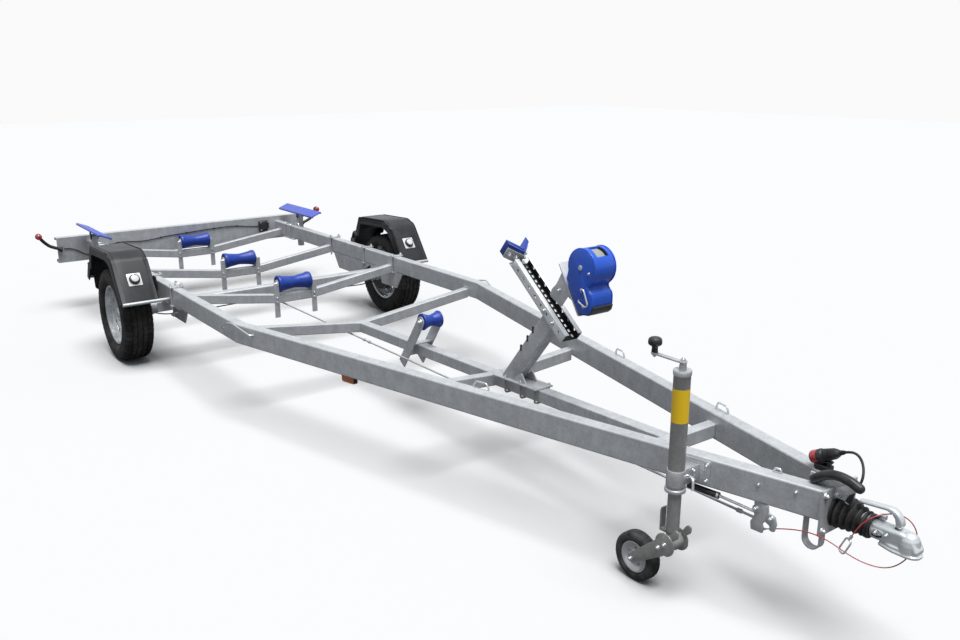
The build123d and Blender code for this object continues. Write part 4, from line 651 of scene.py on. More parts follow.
class TRAILER_OT_finishes(Operator):
    """Make the finishes and paint the nodes that keep their own shape"""

    bl_idname = "trailer.finishes"
    bl_label = "Finishes"

    def execute(self, context):
        colours = context.scene.trailer_colours
        zinc, grain = dipped_zinc_group(), moulded_grain_group()
        dull, bright = (*colours.zinc_dull, 1), (*colours.zinc_bright, 1)
        # columns: name, dull tone, bright tone, patch size, spangle, smoothest, roughest, metallic
        for name, low, high, patch, spangle, smooth, rough, metal in (
            ("dipped zinc", dull, bright, 16.0, 130.0, 0.36, 0.52, 0.35),
            # the jack zinc's darker tones also paint the shade on the winch post's U-bolts
            ("jack zinc", (0.26, 0.265, 0.26, 1), (0.36, 0.37, 0.36, 1), 24.0, 200.0, 0.32, 0.5,
             0.35),
            ("rail zinc", (0.60, 0.64, 0.67, 1), (0.80, 0.83, 0.85, 1), 16.0, 200.0, 0.3, 0.48,
             0.35),
            ("bright zinc", (0.52, 0.54, 0.56, 1), (0.74, 0.76, 0.78, 1), 30.0, 400.0, 0.25, 0.4,
             0.8),
            ("coupling steel", (0.56, 0.60, 0.62, 1), (0.76, 0.80, 0.82, 1), 22.0, 260.0, 0.28,
             0.46, 0.6),
        ):
            values = {"Dull": low, "Bright": high, "Patch": patch, "Spangle": spangle,
                      "Smooth": smooth, "Rough": rough}
            new_finish(name, zinc, values, (0.35, 0.0012), Metallic=metal)
        # columns: name, colour, fading, patch, grain, scuffs, smoothest, roughest, bump, specular,
        # coat, metallic
        for name, tone, fade, patch, fine, scuffs, smooth, rough, bump, gloss, coat, metal in (
            ("satin black steel", (0.012, 0.012, 0.014), 0.05, 12, 700, 0.35, 0.3, 0.5, 0.1,
             0.35, 0, 0),
            ("silver wheel paint", colours.wheel_silver, 0.15, 14, 900, 0.2, 0.22, 0.38, 0.06,
             0.5, 0.3, 0.55),
            ("tyre rubber", (0.014, 0.014, 0.015), 0.07, 16, 1400, 0.25, 0.62, 0.85, 0.35,
             0.15, 0, 0),
            ("solid tyre rubber", (0.020, 0.020, 0.021), 0.10, 30, 1400, 0.4, 0.6, 0.85, 0.3,
             0.2, 0, 0),
            ("guard plastic", colours.guard_black, 0.02, 6, 1100, 0.2, 0.32, 0.48, 0.14,
             0.35, 0, 0),
            ("black plastic", (0.014, 0.014, 0.016), 0.05, 20, 1200, 0.2, 0.28, 0.45, 0.14,
             0.35, 0, 0),
            ("black rubber", (0.012, 0.012, 0.013), 0.06, 24, 1500, 0.15, 0.45, 0.68, 0.22,
             0.25, 0, 0),
            ("blue roller rubber", colours.roller_blue, 0.02, 18, 800, 0.12, 0.28, 0.45, 0.12,
             0.4, 0, 0),
            ("blue pad plastic", colours.pad_blue, 0.05, 10, 900, 0.15, 0.35, 0.55, 0.14,
             0.35, 0, 0),
            ("blue winch cover", colours.winch_blue, 0.015, 14, 600, 0.1, 0.22, 0.36, 0.08,
             0.4, 0, 0),
            ("red sheath", colours.cable_red, 0.05, 40, 1500, 0.2, 0.2, 0.35, 0.06, 0.5, 0.5, 0),
            ("white lens", (0.72, 0.73, 0.74), 0.1, 30, 500, 0.1, 0.1, 0.22, 0.1, 0.5, 0.8, 0),
            ("red lens", colours.lamp_red, 0.02, 40, 300, 0.05, 0.08, 0.16, 0.25, 0.5, 1, 0),
            ("amber lens", colours.lamp_amber, 0.02, 40, 300, 0.05, 0.08, 0.16, 0.25, 0.5, 1, 0),
            ("strap webbing", (0.30, 0.32, 0.29), 0.1, 30, 1600, 0.1, 0.6, 0.8, 0.3, 0.5, 0, 0),
            ("yellow band", colours.band_yellow, 0.02, 20, 1200, 0.15, 0.35, 0.5, 0.06,
             0.5, 0, 0),
        ):
            values = {"Fresh": (*tone, 1), "Faded": paled(tone, fade * 3), "Patch": patch,
                      "Grain": fine, "Scuffs": scuffs, "Smooth": smooth, "Rough": rough}
            new_finish(name, grain, values, (bump, 0.0008), Specular_IOR_Level=gloss,
                       Coat_Weight=coat, Metallic=metal)
        self.paint_nodes()
        return {"FINISHED"}

    def paint_nodes(self):
        """Give each node the first finish of its slot."""
        first_finish = {}
        for name, slot in SLOTS.items():
            first_finish.setdefault(slot, name)
        for part in frame["record"]["subparts"]:
            materials = frame["nodes"][part["node"]].data.materials
            materials.clear()
            materials.append(bpy.data.materials[first_finish[part["material_slot"]]])


class TRAILER_OT_wheels(Operator):
    """Model the road tyres, steel wheels, brake drums, wheel bolts and caps"""

    bl_idname = "trailer.wheels"
    bl_label = "Road wheels"

    def execute(self, context):
        sizes = context.scene.trailer_sizes
        for side_name, side in SIDES.items():
            centre = Vector((AXLE_X, WHEEL_OUT * side, WHEEL_UP))
            out = LEFT * side
            body = f"{side_name}_wheel"
            tyre = self.tyre(centre, out, sizes.tread_depth)
            finish(tyre, f"{side_name}_road_tyre", "tyre rubber", (f"{side_name}_tyre",), body)
            rim = self.rim(centre, out, sizes.wheel_holes)
            finish(rim, f"{side_name}_steel_wheel", "silver wheel paint", (f"{side_name}_rim",),
                   body)
            drum = lathe([(-0.1015, 0.021), (-0.1015, 0.117), (-0.096, 0.118), (-0.046, 0.118),
                          (-0.042, 0.112), (-0.0405, 0.048), (0.0155, 0.047), (0.0155, 0.021)],
                         centre, out, 48)
            finish(soften(drum, 0.002), f"{side_name}_brake_drum", "satin black steel", body=body)
            cap = lathe([(0.0245, 0.0), (0.0245, 0.031), (0.031, 0.031), (0.033, 0.0285),
                         (0.047, 0.0275), (0.050, 0.024), (0.0505, 0.0)], centre, out, 32, False)
            nuts = set_out(hex_bolt(0.024), [
                (centre + out * 0.0245 + Quaternion(LEFT, tau * step / 5) @ (UP * 0.056), out)
                for step in range(5)])
            finish(join([cap, nuts]), f"{side_name}_hub_cap_and_bolts", "bright zinc", body=body)
        return {"FINISHED"}

    def tyre(self, centre, out, depth):
        """A tyre with four grooves round it and sipes across its blocks."""
        steps = 150
        half = [(0.0700, 0.1945), (0.0755, 0.2035), (0.0840, 0.2070), (0.0845, 0.2095),
                (0.0905, 0.2150), (0.0955, 0.2290), (0.0972, 0.2400), (0.0962, 0.2412),
                (0.0968, 0.2440), (0.0955, 0.2620), (0.0915, 0.2790), (0.0925, 0.2802),
                (0.0895, 0.2890), (0.0820, 0.2985), (0.0745, 0.3030), (0.0690, 0.3048)]
        tread = []
        for middle in (0.050, 0.017):
            for offset, deep in ((0.0045, 0), (0.0038, depth), (-0.0038, depth), (-0.0045, 0)):
                along = middle + offset
                tread.append((along, 0.3078 - 0.62 * along * along - deep))
        outer = half + tread
        profile = outer + [(-along, radius) for along, radius in reversed(outer)]
        tyre = lathe(profile, centre, out, steps)
        edit(tyre)

        def sipe(middle, _normal):
            spoke = middle - centre
            along = abs(spoke.dot(out))
            angle = Vector((spoke.x, spoke.z)).angle_signed(Vector((0, 1)))
            turn = round((angle / tau) * steps - 0.5)
            far = 0.0560 < along < 0.0925 and turn % 3 == 0 and spoke.length > 0.29
            near = 0.022 < along < 0.045 and turn % 5 == 0 and spoke.length > 0.3
            return far or near

        pick(tyre, sipe)
        bpy.ops.mesh.extrude_region_shrink_fatten(
            TRANSFORM_OT_shrink_fatten={"value": -depth * 0.55})
        object_mode()
        return tyre

    def rim(self, centre, out, holes):
        """A steel rim and its dished disc with a ring of openings."""
        barrel = lathe([(0.0750, 0.1945), (0.0715, 0.1945), (0.0705, 0.1890), (0.0695, 0.1855),
                        (0.0400, 0.1830), (0.0280, 0.1650), (-0.0240, 0.1650),
                        (-0.0400, 0.1830), (-0.0695, 0.1855), (-0.0705, 0.1890),
                        (-0.0715, 0.1945), (-0.0750, 0.1945), (-0.0745, 0.1860),
                        (-0.0720, 0.1815), (-0.0425, 0.1790), (-0.0265, 0.1610),
                        (0.0305, 0.1610), (0.0430, 0.1790), (0.0720, 0.1815),
                        (0.0745, 0.1860)], centre, out, 64)
        disc = lathe([(0.004, 0.1612), (0.020, 0.1590), (0.034, 0.1480), (0.040, 0.1360),
                      (0.0405, 0.1180), (0.036, 0.1020), (0.028, 0.0900), (0.0245, 0.0800),
                      (0.0245, 0.0430), (0.0290, 0.0400), (0.0290, 0.0330), (0.0245, 0.0320),
                      (0.0200, 0.0330), (0.0200, 0.0800), (0.0235, 0.0920), (0.0310, 0.1040),
                      (0.0355, 0.1180), (0.0350, 0.1350), (0.0300, 0.1445), (0.0175, 0.1545),
                      (0.004, 0.1570)], centre, out, 64)
        hole = start(bpy.ops.mesh.primitive_cylinder_add, vertices=20, radius=0.0145, depth=0.08)
        spokes = [Quaternion(LEFT, tau * (step + 0.5) / holes) @ (UP * 0.1270)
                  for step in range(holes)]
        cutter = set_out(hole, [(centre + out * 0.035 + spoke, out) for spoke in spokes])
        return join([barrel, soften(cut(disc, cutter), 0.0012, 1, 50)])


class TRAILER_OT_mudguards(Operator):
    """Model the mudguards, their rear flaps and the marker lamps"""

    bl_idname = "trailer.mudguards"
    bl_label = "Mudguards"

    # ahead and up, from the rear lower edge over the wheel to the front lower edge
    ARCH = ((-436, 498), (-372, 604), (-332, 604), (-284, 726), (96, 742), (188, 706), (362, 462))

    def execute(self, context):
        guard = self.guard()
        finish(guard, "left_moulded_guard", "guard plastic", ("left_mudguard",), angle=50)
        finish(mirrored(guard), "right_moulded_guard", "guard plastic", ("right_mudguard",),
               angle=50)
        reflector, lens, cup = self.marker_lamp()
        # across and up, round the left flap
        outline = ((925, 512), (925, 214), (1058, 214), (1062, 388), (1088, 404), (1092, 512))
        flap = slab([at(-434, across, up) for across, up in outline], AHEAD * 0.005, 0.010, 0.001)
        finish(mirrored(flap), "right_mud_flap", "black rubber")
        finish(flap, "left_mud_flap", "black rubber")
        for name, piece, material in (("marker_reflector", reflector, "white lens"),
                                      ("marker_lens", lens, "white lens"),
                                      ("marker_cup", cup, "black plastic")):
            finish(mirrored(piece), f"right_{name}", material)
            stands_for = ("marker_lamps",) if name == "marker_reflector" else ()
            finish(piece, f"left_{name}", material, stands_for)
        return {"FINISHED"}

    def marker_lamp(self):
        """A square reflector, a round lens and its cup on the left guard's front slope; the cup's
        black also paints the ring of shade round the lens.
        """
        (top_x, top_z), (foot_x, foot_z) = self.ARCH[-2:]
        middle = at((top_x + foot_x) / 2, 1018.5, (top_z + foot_z) / 2)
        down = Vector((foot_x - top_x, 0, foot_z - top_z)).normalized()
        normal = LEFT.cross(down).normalized()
        normal = normal if normal.z > 0 else -normal
        half = 0.043
        plate = slab([middle + normal * 0.0008 + down * a + LEFT * b
                      for a, b in ((-half, -half), (half, -half), (half, half), (-half, half))],
                     normal * 0.004, 0.006, 0.0012)
        lens = lathe([(0.004, 0.024), (0.012, 0.0265), (0.020, 0.026), (0.0265, 0.022),
                      (0.0285, 0.014), (0.0288, 0.0)], middle, normal, 32, False)
        # the cup is black partly as painted shade: it stands for the ring of shade round the lens
        cup = lathe([(0.004, 0.0), (0.004, 0.0335), (0.009, 0.0335), (0.011, 0.0300),
                     (0.022, 0.0290), (0.023, 0.0265), (0.012, 0.0262), (0.012, 0.0)],
                    middle, normal, 32, False)
        return plate, lens, cup

    def guard(self):
        """The left guard: a raised crown between two rims, with skirts over the tyre's sides."""
        inner, outer = 0.907, 1.1305
        arch = stroke([at(x, 907, z) for x, z in self.ARCH])
        modify(arch, "BEVEL", affect="VERTICES", width=0.045, segments=6)
        edit(arch)
        # widths of the strips across: rim, step, crown in four parts, step, rim
        for width in (0.022, 0.004, 0.043, 0.043, 0.043, 0.043, 0.004, 0.0215):
            bpy.ops.mesh.extrude_region_move(TRANSFORM_OT_translate={"value": (0, width, 0)})
        outwards()
        mesh = bmesh.from_edit_mesh(arch.data)
        top = max(mesh.faces, key=lambda face: face.calc_center_median().z)
        if top.normal.z < 0:
            bpy.ops.mesh.flip_normals()
        crown_in, crown_out = 0.931, 1.106
        pick(arch, lambda middle, _normal: middle.y > crown_out or middle.y < crown_in)
        bpy.ops.mesh.extrude_region_shrink_fatten(
            TRANSFORM_OT_shrink_fatten={"value": -0.0035})
        # skirts, drawn from the two long edges towards the wheel's middle
        for edge_y in (inner, outer):
            pick(arch, lambda middle, way: abs(middle.y - edge_y) < 0.0004 and abs(way.y) < 0.5,
                 "edges")
            bpy.ops.mesh.extrude_edges_move()
            bpy.ops.transform.resize(value=(0.885, 1, 0.885),
                                     center_override=(AXLE_X, edge_y, WHEEL_UP))
        object_mode()
        modify(arch, "SOLIDIFY", thickness=0.004, offset=-1)
        return soften(arch, 0.006, 3, 55)


class TRAILER_OT_keel_rollers(Operator):
    """Model the hourglass rollers and the bolt heads on their spindles"""

    bl_idname = "trailer.keel_rollers"
    bl_label = "Keel rollers"

    # number, ahead, height of the axis, length, radius at the ends, radius of the waist
    ROLLERS = ((1, -1510, 452, 240, 57, 41), (2, -550, 452, 240, 57, 41),
               (3, 400, 452, 240, 57, 41), (4, 2092, 556, 116, 46, 30))

    def execute(self, context):
        for number, ahead, up, length, radius, waist in self.ROLLERS:
            middle = at(ahead, 0, up)
            half, big, small = length / 2 * MM, radius * MM, waist * MM
            cheek = half * 0.24
            wall = [(half, 0.0105), (half, big * 0.42), (half - 0.006, big * 0.48),
                    (half - 0.006, big * 0.72), (half, big * 0.78), (half, big - 0.005),
                    (half - 0.002, big - 0.0012), (half - 0.005, big),
                    (half - cheek * 0.72, big), (half - cheek * 0.86, big - 0.0012)]
            hollow = []
            for step in range(9):
                share = 1 - step / 4
                along = share * (half - cheek)
                hollow.append((along, small + (big - 0.004 - small) * abs(share) ** 1.25))
            profile = wall + hollow + [(-along, r) for along, r in reversed(wall)]
            roller = lathe(profile, middle, LEFT, 56)
            finish(roller, f"moulded_roller_{number}", "blue roller rubber",
                   (f"keel_roller_{number}",), f"keel_roller_{number}", angle=40)
            plate = half + 0.0072
            bolts(f"roller_spindle_ends_{number}", 0.024,
                  [(middle + LEFT * side * plate, LEFT * side) for side in SIDES.values()])
        return {"FINISHED"}


class TRAILER_OT_winch(Operator):
    """Model the winch: its two-lobed cover, strap roll, black rings that paint the shade beside the
    roll, a black trim, bolts and pawl
    """

    bl_idname = "trailer.winch"
    bl_label = "Winch"

    def outline(self, shrink=0.0):
        """Ahead and up round the cover's side, drawn in by so many millimetres."""
        reach = 84 - shrink
        lobe = [(DRUM_AHEAD + reach * cos(radians(turn)), DRUM_UP + reach * sin(radians(turn)))
                for turn in range(196, -52, -12)]
        lower = [(3366 - shrink, 995), (3367 - shrink, 984), (3376 - shrink, 974),
                 (3387 - shrink, 964), (3391 - shrink, 948), (3391 - shrink, 916),
                 (3384 - shrink, 890 + shrink), (3368, 876 + shrink), (3330, 870 + shrink),
                 (3310 + shrink, 874 + shrink), (3266 + shrink, 944), (3231 + shrink, 1006)]
        return lobe + lower

    def execute(self, context):
        drum = at(DRUM_AHEAD, 0, DRUM_UP)
        cover = slab([at(x, -55, z) for x, z in self.outline(2.5)], LEFT * 0.110, 0, 0.0025)
        mouth = block(at(3322, -33, 1118), at(3400, 33, 1180), 0.004)
        cut(cover, mouth)
        faces = [slab([at(x, left, z) for x, z in self.outline()], LEFT * 0.006, 0, 0.0028)
                 for left in (-61, 55)]
        dishes = [slab([at(x, left, z) for x, z in self.outline(9)], LEFT * 0.0012, 0, 0.0008)
                  for left in (-62, 60.8)]
        finish(join([cover, *faces, *dishes]), "winch_cover", "blue winch cover", ("winch",),
               angle=40)
        shell = lathe([(-0.025, 0.052), (-0.025, 0.0705), (-0.023, 0.0715), (0.023, 0.0715),
                       (0.025, 0.0705), (0.025, 0.052)], drum, LEFT, 40)
        finish(shell, "winch_strap_roll", "strap webbing")
        # painted shade: black rings at the roll's ends fill the gaps beside it in the cover's
        # mouth, which lie in shade
        roll_gap_shades = lathe([(-0.0335, 0.050), (-0.0335, 0.0785), (-0.0305, 0.0785), (-0.029, 0.060),
                         (0.029, 0.060), (0.0305, 0.0785), (0.0335, 0.0785), (0.0335, 0.050)],
                        drum, LEFT, 40)
        corner = slab([at(x, -58, z) for x, z in ((3391, 912), (3395, 908), (3388, 886),
                                                  (3370, 871), (3318, 865), (3319, 870),
                                                  (3368, 876), (3383, 890))],
                      LEFT * 0.116)
        finish(join([roll_gap_shades, corner]), "winch_black_trims", "black plastic")
        places = ((3319, 1068), (3368, 1051), (3340, 905))
        heads = [(at(x, 62 * side, z), LEFT * side) for x, z in places
                 for side in SIDES.values()]
        bolts("winch_bolts", 0.009, heads)
        hub = lathe([(0, 0), (0, 0.011), (0.004, 0.011), (0.006, 0.009), (0.006, 0)],
                    at(3319, -62, 1068), -LEFT, 24, False)
        finish(hub, "winch_shaft_end", "bright zinc")
        pawl = rod([at(3324, -60, 968), at(3328, -70, 980), at(3350, -72, 982),
                    at(3378, -72, 920), at(3362, -72, 908), at(3318, -70, 926),
                    at(3312, -60, 928)], 0.0042, 0.010)
        finish(pawl, "winch_pawl_rod", "bright zinc")
        return {"FINISHED"}


RAIL_SLOPE = radians(38.7)
RAIL_FOOT = at(3192, 0, 708)
RAIL_UP = Vector((-cos(RAIL_SLOPE), 0, sin(RAIL_SLOPE)))
RAIL_OUT = Vector((sin(RAIL_SLOPE), 0, cos(RAIL_SLOPE)))


def on_rail(along, left, off):
    """A place in millimetres up the winch rail, left of its middle and off its underside."""
    return RAIL_FOOT + RAIL_UP * along * MM + LEFT * left * MM + RAIL_OUT * off * MM


class TRAILER_OT_winch_stand(Operator):
    """Model the slotted rail, the post with its base, the winch plate and their bolts"""

    bl_idname = "trailer.winch_stand"
    bl_label = "Winch stand"

    # where U-bolts hold the post's base and where the post stands on it; the plate's thickness
    CLAMPS_AHEAD, POST_AHEAD, BASE_THICK = (2800, 2915, 3018), 2797, 8

    def execute(self, context):
        sizes = context.scene.trailer_sizes
        rail = self.rail()
        finish(rail, "lipped_winch_rail", "rail zinc", ("winch_rail",))
        post = self.post()
        finish(post, "winch_post_and_base", "dipped zinc", ("winch_post",))
        bracket = self.bracket()
        finish(bracket, "winch_plate_and_gussets", "dipped zinc", ("winch_bracket",))
        heads = []
        for x in self.CLAMPS_AHEAD:
            for left in (-43, 43):
                heads.append((at(x, left, backbone_top(x) + self.BASE_THICK), UP))
        for u in (92, 165):
            for side in SIDES.values():
                heads.append((on_rail(u, 50.2 * side, 26), LEFT * side))
        for side in SIDES.values():
            heads.append((at(3169, 44.5 * side, 940), LEFT * side))
        bolts("winch_stand_bolts", sizes.small_bolt, heads)
        clamps = []
        for x in self.CLAMPS_AHEAD:
            top = backbone_top(x)
            clamps.append(rod([at(x, -43, top + 10), at(x, -43, top - 66), at(x, 43, top - 66),
                               at(x, 43, top + 10)], sizes.clamp_rod, 0.012))
        # painted shade: the U-bolts lie in shade against the backbone's side, so they take the
        # darker jack zinc
        finish(join(clamps), "winch_post_u_bolts", "jack zinc")
        clips = [block(at(x - 9, -33, z - 17), at(x + 3, -24, z + 15), 0.004)
                 for x, z in ((2984, 716), (2946, 666), (2900, 610))]
        finish(join(clips), "winch_post_clips", "black rubber")
        return {"FINISHED"}

    def rail(self):
        """The lipped rail with its rows of slots, and a dark sheet inside it that paints the shade
        of the channel's inside.
        """
        section = ((-50, 1), (-50, 50), (-27, 50), (-27, 46), (-45.5, 46), (-45.5, 5), (45.5, 5),
                   (45.5, 46), (27, 46), (27, 50), (50, 50), (50, 1))
        rail = slab([on_rail(0, left, off) for left, off in section], RAIL_UP * 0.45, 0, 0.0012)
        slot = slab([Vector((-0.006, -0.008, -0.01)), Vector((0.006, -0.008, -0.01)),
                     Vector((0.006, 0.008, -0.01)), Vector((-0.006, 0.008, -0.01))],
                    UP * 0.02, 0.0)
        cutters = []
        for step in range(15):
            for left in (-30, 30):
                cutters.append((on_rail(20 + step * 29.3, left, 3), RAIL_OUT))
        side_cutters = []
        for step in range(8):
            for side in (-1, 1):
                side_cutters.append((on_rail(40 + step * 52, 48 * side, 25), LEFT * side))
        # painted shade: a thin dark sheet over the inner faces of the flanges and floor darkens the
        # channel, with the slots cut through it
        rail_shade = slab([on_rail(0.5, left, off) for left, off in (
            (-45.3, 5.2), (-45.3, 45.9), (-44.6, 45.9), (-44.6, 5.8), (44.6, 5.8), (44.6, 45.9),
            (45.3, 45.9), (45.3, 5.2))], RAIL_UP * 0.449)
        openings = join([set_out(copy_of(slot), cutters), set_out(slot, side_cutters)])
        cut(rail_shade, copy_of(openings))
        finish(rail_shade, "winch_rail_lining", "satin black steel")
        return cut(rail, openings)

    def post(self):
        """The leaning post, cut level with its base plate, and the ribs at its foot."""
        u, half, deep = 131, 42, 30
        corners = [on_rail(u - half, -deep, -0.3), on_rail(u + half, -deep, -0.3),
                   on_rail(u + half, deep, -0.3), on_rail(u - half, deep, -0.3)]
        post = slab(corners, RAIL_OUT * -0.7, 0.008)
        edit(post)
        bpy.ops.mesh.bisect(plane_co=at(self.POST_AHEAD, 0, backbone_top(self.POST_AHEAD) + 8.5),
                            plane_no=Vector((-BACKBONE_RISE, 0, 1)), clear_inner=True,
                            use_fill=True)
        outwards()
        object_mode()
        rear, front, thick = 2714, 3033, self.BASE_THICK
        base = slab([at(x, 0, backbone_top(x) + up) + LEFT * -0.055
                     for x, up in ((rear, 0.2), (front, 0.2), (front, thick), (rear, thick))],
                    LEFT * 0.11, 0, 0.002)
        ribs = []
        top = backbone_top(self.POST_AHEAD) + thick
        for left in (-36, 30):
            corners = [at(self.POST_AHEAD + x, left, top + z)
                       for x, z in ((48, 0), (150, 3), (112, 52))]
            ribs.append(slab(corners, LEFT * 0.006, 0.006, 0.001))
        return join([soften(post, 0.0015, 2), base, *ribs])

    def bracket(self):
        """The sloping plate under the winch and its two gussets."""
        slope = radians(55.4)
        along, out = Vector((-cos(slope), 0, sin(slope))), Vector((sin(slope), 0, cos(slope)))
        foot = at(3312, 0, 858)
        plate = slab([foot + along * a + LEFT * b for a, b in (
            (0, -0.061), (0.25, -0.05), (0.25, 0.05), (0, 0.061))], out * -0.006, 0.010, 0.0012)
        gussets = []
        shape = ((3111, 903), (3184, 869), (3218, 915), (3243, 951), (3187, 1028), (3150, 966),
                 (3117, 934))
        for left in (-44, 39):
            gussets.append(slab([at(x, left, z) for x, z in shape], LEFT * 0.005, 0.006, 0.001))
        return join([plate, *gussets])


class TRAILER_OT_bow_stop(Operator):
    """Model the V of rubber that a stem runs against, its steel V and its bolts"""

    bl_idname = "trailer.bow_stop"
    bl_label = "Bow stop"

    def execute(self, context):
        arm, deep = 58, 31.1
        rubber = []
        for left in (-1, 1):
            outline = ((458.6, 0), (458.6 + arm, arm * left), (458.6 + arm + deep, arm * left),
                       (458.6 + deep, 0))
            half = slab([on_rail(u, v, 1) for u, v in outline], RAIL_OUT * 0.079, 0.004)
            ribs = slab([on_rail(468 + arm * k + off, (arm * k + 2) * left, 81)
                         for k, off in ((0.0, 6), (0.92, 6), (0.92, 14), (0.0, 14))],
                        RAIL_OUT * 0.0015)
            rubber += [half, ribs]
        stop = modify(join(rubber), "WELD", merge_threshold=0.0001)
        finish(soften(stop, 0.003, 2), "bow_stop_rubber", "blue roller rubber", ("bow_stop",))
        steel = []
        for left in (-1, 1):
            outline = ((450.1, 0), (450.1 + arm, arm * left), (450.1 + arm + 8.3, arm * left),
                       (458.5, 0))
            steel.append(slab([on_rail(u, v, 0) for u, v in outline], RAIL_OUT * 0.062))
        tongue = slab([on_rail(u, v, -0.2) for u, v in ((426, -44), (474, -44), (474, 44),
                                                         (426, 44))], RAIL_OUT * -0.0056, 0.004)
        finish(soften(join([*steel, tongue]), 0.001, 1), "bow_stop_steel", "dipped zinc",
               ("bow_stop_bracket",))
        across = RAIL_UP * -0.7071
        heads = []
        for left in (-1, 1):
            for share in (0.35, 0.75):
                place = on_rail(450.1 + arm * share, arm * share * left, 31)
                heads.append((place, across + LEFT * left * 0.7071))
        bolts("bow_stop_bolts", 0.018, heads)
        return {"FINISHED"}


class TRAILER_OT_jack(Operator):
    """Model the jack tube with its cap, band and clamp, the crank, its knob and the leg"""

    bl_idname = "trailer.jack"
    bl_label = "Jack"

    def execute(self, context):
        foot = at(JACK_AHEAD, JACK_LEFT, 0)
        self.tube(foot)
        self.crank(foot)
        self.clamp()
        leg = lathe([(0.2665, 0.0), (0.2665, 0.0225), (0.2680, 0.0240), (0.7135, 0.0240),
                     (0.7135, 0.0210), (0.2900, 0.0210), (0.2900, 0.0)], foot, UP, 48, False)
        key = block(at(JACK_AHEAD - 27, JACK_LEFT - 4, 300),
                    at(JACK_AHEAD - 23, JACK_LEFT + 4, 705), 0.001)
        finish(join([leg, key]), "jack_inner_leg", "jack zinc", ("jack_leg",), "jack_leg")
        return {"FINISHED"}

    def tube(self, foot):
        """The outer tube with its collar, cap ring and band."""
        tube = lathe([(0.439, 0.030), (0.8600, 0.030), (0.8615, 0.0308), (0.8770, 0.0308),
                      (0.8778, 0.030), (0.8778, 0.0130), (0.8950, 0.0125), (0.8998, 0.0105),
                      (0.8998, 0.0), (0.8600, 0.0), (0.8600, 0.0265), (0.439, 0.0265)],
                     foot, UP, 48)
        edit(tube)
        bpy.ops.mesh.remove_doubles(threshold=0.00005)
        object_mode()
        collar = lathe([(0.4252, 0.0245), (0.4252, 0.036), (0.4270, 0.038), (0.4375, 0.038),
                        (0.4392, 0.036), (0.4392, 0.0245)], foot, UP, 48)
        finish(tube, "jack_outer_tube", "jack zinc", ("jack_tube",))
        finish(soften(collar, 0.001, 1), "jack_tube_collar", "bright zinc")
        cap = lathe([(0.8605, 0.0303), (0.8600, 0.0318), (0.8625, 0.0322), (0.8765, 0.0322),
                     (0.8785, 0.0312), (0.8788, 0.0140), (0.8750, 0.0135)], foot, UP, 48, False)
        finish(cap, "jack_cap_ring", "bright zinc")
        band = lathe([(0.690, 0.03005), (0.690, 0.03045), (0.812, 0.03045), (0.812, 0.03005)],
                     foot, UP, 48)
        finish(band, "jack_band", "yellow band")

    def crank(self, foot):
        """The flat crank on top of the jack, its nut and rivet, and the knob at its end."""
        arm = at(3953, JACK_LEFT, 0)
        crank = slab([foot + Vector((0.014, -0.010, 0.9004)),
                      foot + Vector((0.014, 0.010, 0.9004)),
                      arm + Vector((-0.014, 0.010, 0.9004)),
                      arm + Vector((-0.014, -0.010, 0.9004))], UP * 0.007, 0.0095, 0.0015)
        nut = set_out(hex_bolt(0.019), [(foot + UP * 0.9074, UP)])
        rivet = set_out(hex_bolt(0.014), [(arm + UP * 0.9002, -UP)])
        finish(join([crank, nut]), "jack_crank_arm", "bright zinc", ("jack_crank",))
        finish(rivet, "jack_crank_rivet", "bright zinc")
        knob = lathe([(0.9076, 0.0), (0.9076, 0.0105), (0.9090, 0.0120), (0.9150, 0.0112),
                      (0.9250, 0.0108), (0.9310, 0.0130), (0.9340, 0.0200), (0.9370, 0.0235),
                      (0.9430, 0.0250), (0.9520, 0.0245), (0.9580, 0.0222), (0.9618, 0.0170),
                      (0.9632, 0.0080), (0.9633, 0.0)], arm, UP, 36, False)
        finish(knob, "jack_crank_knob", "black plastic", ("crank_knob",), angle=60)

    def clamp(self):
        """The jaw round the tube, its plate on the tapering beam, the bolts and the handle."""
        length = (1 + TAPER**2) ** 0.5
        out = Vector((TAPER / length, -1 / length, 0))
        along = Vector((1 / length, TAPER / length, 0))
        face = at(JACK_AHEAD, -beam_out(JACK_AHEAD), 479)
        plate = slab([face + along * a + UP * b + out * 0.0003 for a, b in (
            (-0.06, -0.0465), (0.06, -0.0465), (0.06, 0.0465), (-0.06, 0.0465))],
            out * 0.0075, 0.010, 0.0015)
        jaw = slab([at(JACK_AHEAD + x, JACK_LEFT + y, 448.5) for x, y in (
            (-34.5, 0), (-32, 13), (-24, 25), (-24, 84), (24, 96), (24, 25), (32, 13), (34.5, 0),
            (32, -13), (24, -25), (13, -32), (0, -34.5), (-13, -32), (-24, -25), (-32, -13))],
            UP * 0.061, 0, 0.002)
        bore = start(bpy.ops.mesh.primitive_cylinder_add, vertices=48, radius=0.0305, depth=0.2,
                     location=at(JACK_AHEAD, JACK_LEFT, 480))
        clamp = join([plate, cut(jaw, freeze(bore))])
        finish(clamp, "jack_clamp_and_plate", "bright zinc", ("jack_clamp",))
        heads = [(face + along * a + UP * b + out * 0.0078, out)
                 for a in (-0.047, 0.047) for b in (-0.030, 0.030)]
        heads += [(at(JACK_AHEAD + 26.2, -233, up), AHEAD) for up in (496, 462)]
        bolts("jack_clamp_bolts", 0.014, heads)
        handle = rod([at(JACK_AHEAD + 26, -250, 479), at(JACK_AHEAD + 52, -262, 479),
                      at(JACK_AHEAD + 58, -268, 440)], 0.005, 0.01)
        finish(handle, "jack_clamp_handle", "bright zinc")


